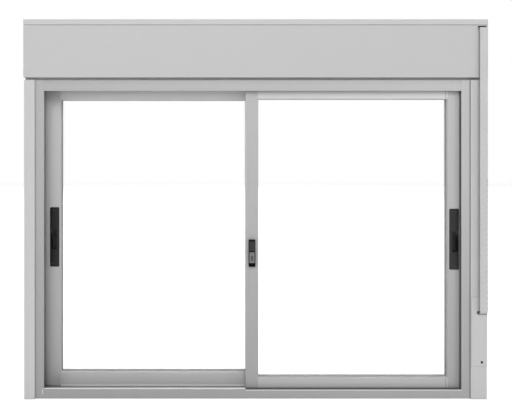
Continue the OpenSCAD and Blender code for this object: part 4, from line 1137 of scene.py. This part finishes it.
class WINDOW_OT_tracks(bpy.types.Operator):
    """Bright caps over the two tracks in the sill, the bead along the rear sash's foot and the bead on the sill's lip:
    the beads' brightness is painted highlight, and the caps' brightness is partly painted highlight
    """
    bl_idname = "window.tracks"
    bl_label = "Track caps"

    def execute(self, context):
        low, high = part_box("sill")
        radius = 1.8 * MM + 0.12 * MM
        top = 16.5 * MM
        shells = []
        for y in (low.y + 24.5 * MM, low.y + 56.5 * MM):
            t = np.radians(np.linspace(-35, 215, 22))
            outer = np.column_stack([radius * np.cos(t), radius * np.sin(t)])
            inner = (outer * (1 - 0.1 * MM / radius))[::-1]
            profile = np.concatenate([outer, inner])
            ends = np.array([[low.x + 1 * MM, y, top - 1.8 * MM], [high.x - 1 * MM, y, top - 1.8 * MM]])
            path = np.linspace(ends[0], ends[1], 3)
            across, up = np.tile([0, 1.0, 0], (3, 1)), np.tile([0, 0, 1.0], (3, 1))
            shells.append(swept_shell(profile, path, across, up))
        # painted highlight: a bright bead along the rear sash's foot
        foot_low, foot_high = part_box("left_sash_bottom_rail")
        shells.append(pad_shell(foot_low.x, foot_high.x, foot_low.z - 2.6 * MM, foot_low.z + 2.4 * MM, foot_low.y,
                                1.6 * MM, 1.4 * MM))
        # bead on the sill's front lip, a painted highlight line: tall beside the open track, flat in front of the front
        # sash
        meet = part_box("right_sash_meeting_stile")[0].x
        left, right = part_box("left_jamb")[1].x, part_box("right_jamb")[0].x
        t = np.radians(np.linspace(0, 180, 9))
        arch = np.column_stack([1.1 * MM * np.cos(t), 1.5 * MM * np.sin(t) + 1.2 * MM])
        profile = np.concatenate([arch, [[-1.1 * MM, -0.4 * MM], [1.1 * MM, -0.4 * MM]]])
        seat = np.array([0, low.y + 1.2 * MM, high.z + 1.3 * MM])
        path = np.linspace(seat + (left, 0, 0), seat + (meet - 1.5 * MM, 0, 0), 3)
        shells.append(swept_shell(profile, path, across, up))
        shells.append(pad_shell(meet - 1.5 * MM, right, high.z - 2.2 * MM, high.z - 0.2 * MM, low.y, 0.4 * MM, 0.4 * MM))
        piece = mesh_object("track_caps_and_highlight_beads", *join_shells(shells), sharp=30.0)
        dressed(piece, finish_of("track_metal_painted_highlight"), "mill_aluminium")
        return {"FINISHED"}


class WINDOW_PT_dressing(bpy.types.Panel):
    """Lists the pieces that dress the window"""
    bl_idname = "WINDOW_PT_dressing"
    bl_label = "Window"
    bl_space_type = "VIEW_3D"
    bl_region_type = "UI"
    bl_category = "Window"

    def draw(self, context):
        for operator in OPERATORS:
            self.layout.operator(operator.bl_idname)
        for group in (context.scene.window_finishes, context.scene.window_sizes, context.scene.window_stage):
            for name in group.__annotations__:
                self.layout.prop(group, name)


OPERATORS = (
    WINDOW_OT_stage, WINDOW_OT_finishes, WINDOW_OT_strap, WINDOW_OT_screws, WINDOW_OT_gaskets,
    WINDOW_OT_pile, WINDOW_OT_pulls, WINDOW_OT_latch, WINDOW_OT_plugs, WINDOW_OT_tracks,
)
GROUPS = (WindowFinishes, WindowSizes, WindowStage)


def register():
    for group in GROUPS:
        bpy.utils.register_class(group)
    bpy.types.Scene.window_finishes = PointerProperty(type=WindowFinishes)
    bpy.types.Scene.window_sizes = PointerProperty(type=WindowSizes)
    bpy.types.Scene.window_stage = PointerProperty(type=WindowStage)
    for operator in OPERATORS:
        bpy.utils.register_class(operator)
    bpy.utils.register_class(WINDOW_PT_dressing)


def unregister():
    bpy.utils.unregister_class(WINDOW_PT_dressing)
    for operator in reversed(OPERATORS):
        bpy.utils.unregister_class(operator)
    del bpy.types.Scene.window_stage
    del bpy.types.Scene.window_sizes
    del bpy.types.Scene.window_finishes
    for group in reversed(GROUPS):
        bpy.utils.unregister_class(group)


def main():
    register()
    bpy.ops.window.stage()
    bpy.ops.window.finishes()
    bpy.ops.window.strap()
    bpy.ops.window.screws()
    bpy.ops.window.gaskets()
    bpy.ops.window.pile()
    bpy.ops.window.pulls()
    bpy.ops.window.latch()
    bpy.ops.window.plugs()
    bpy.ops.window.tracks()


if __name__ == "__main__":
    main()
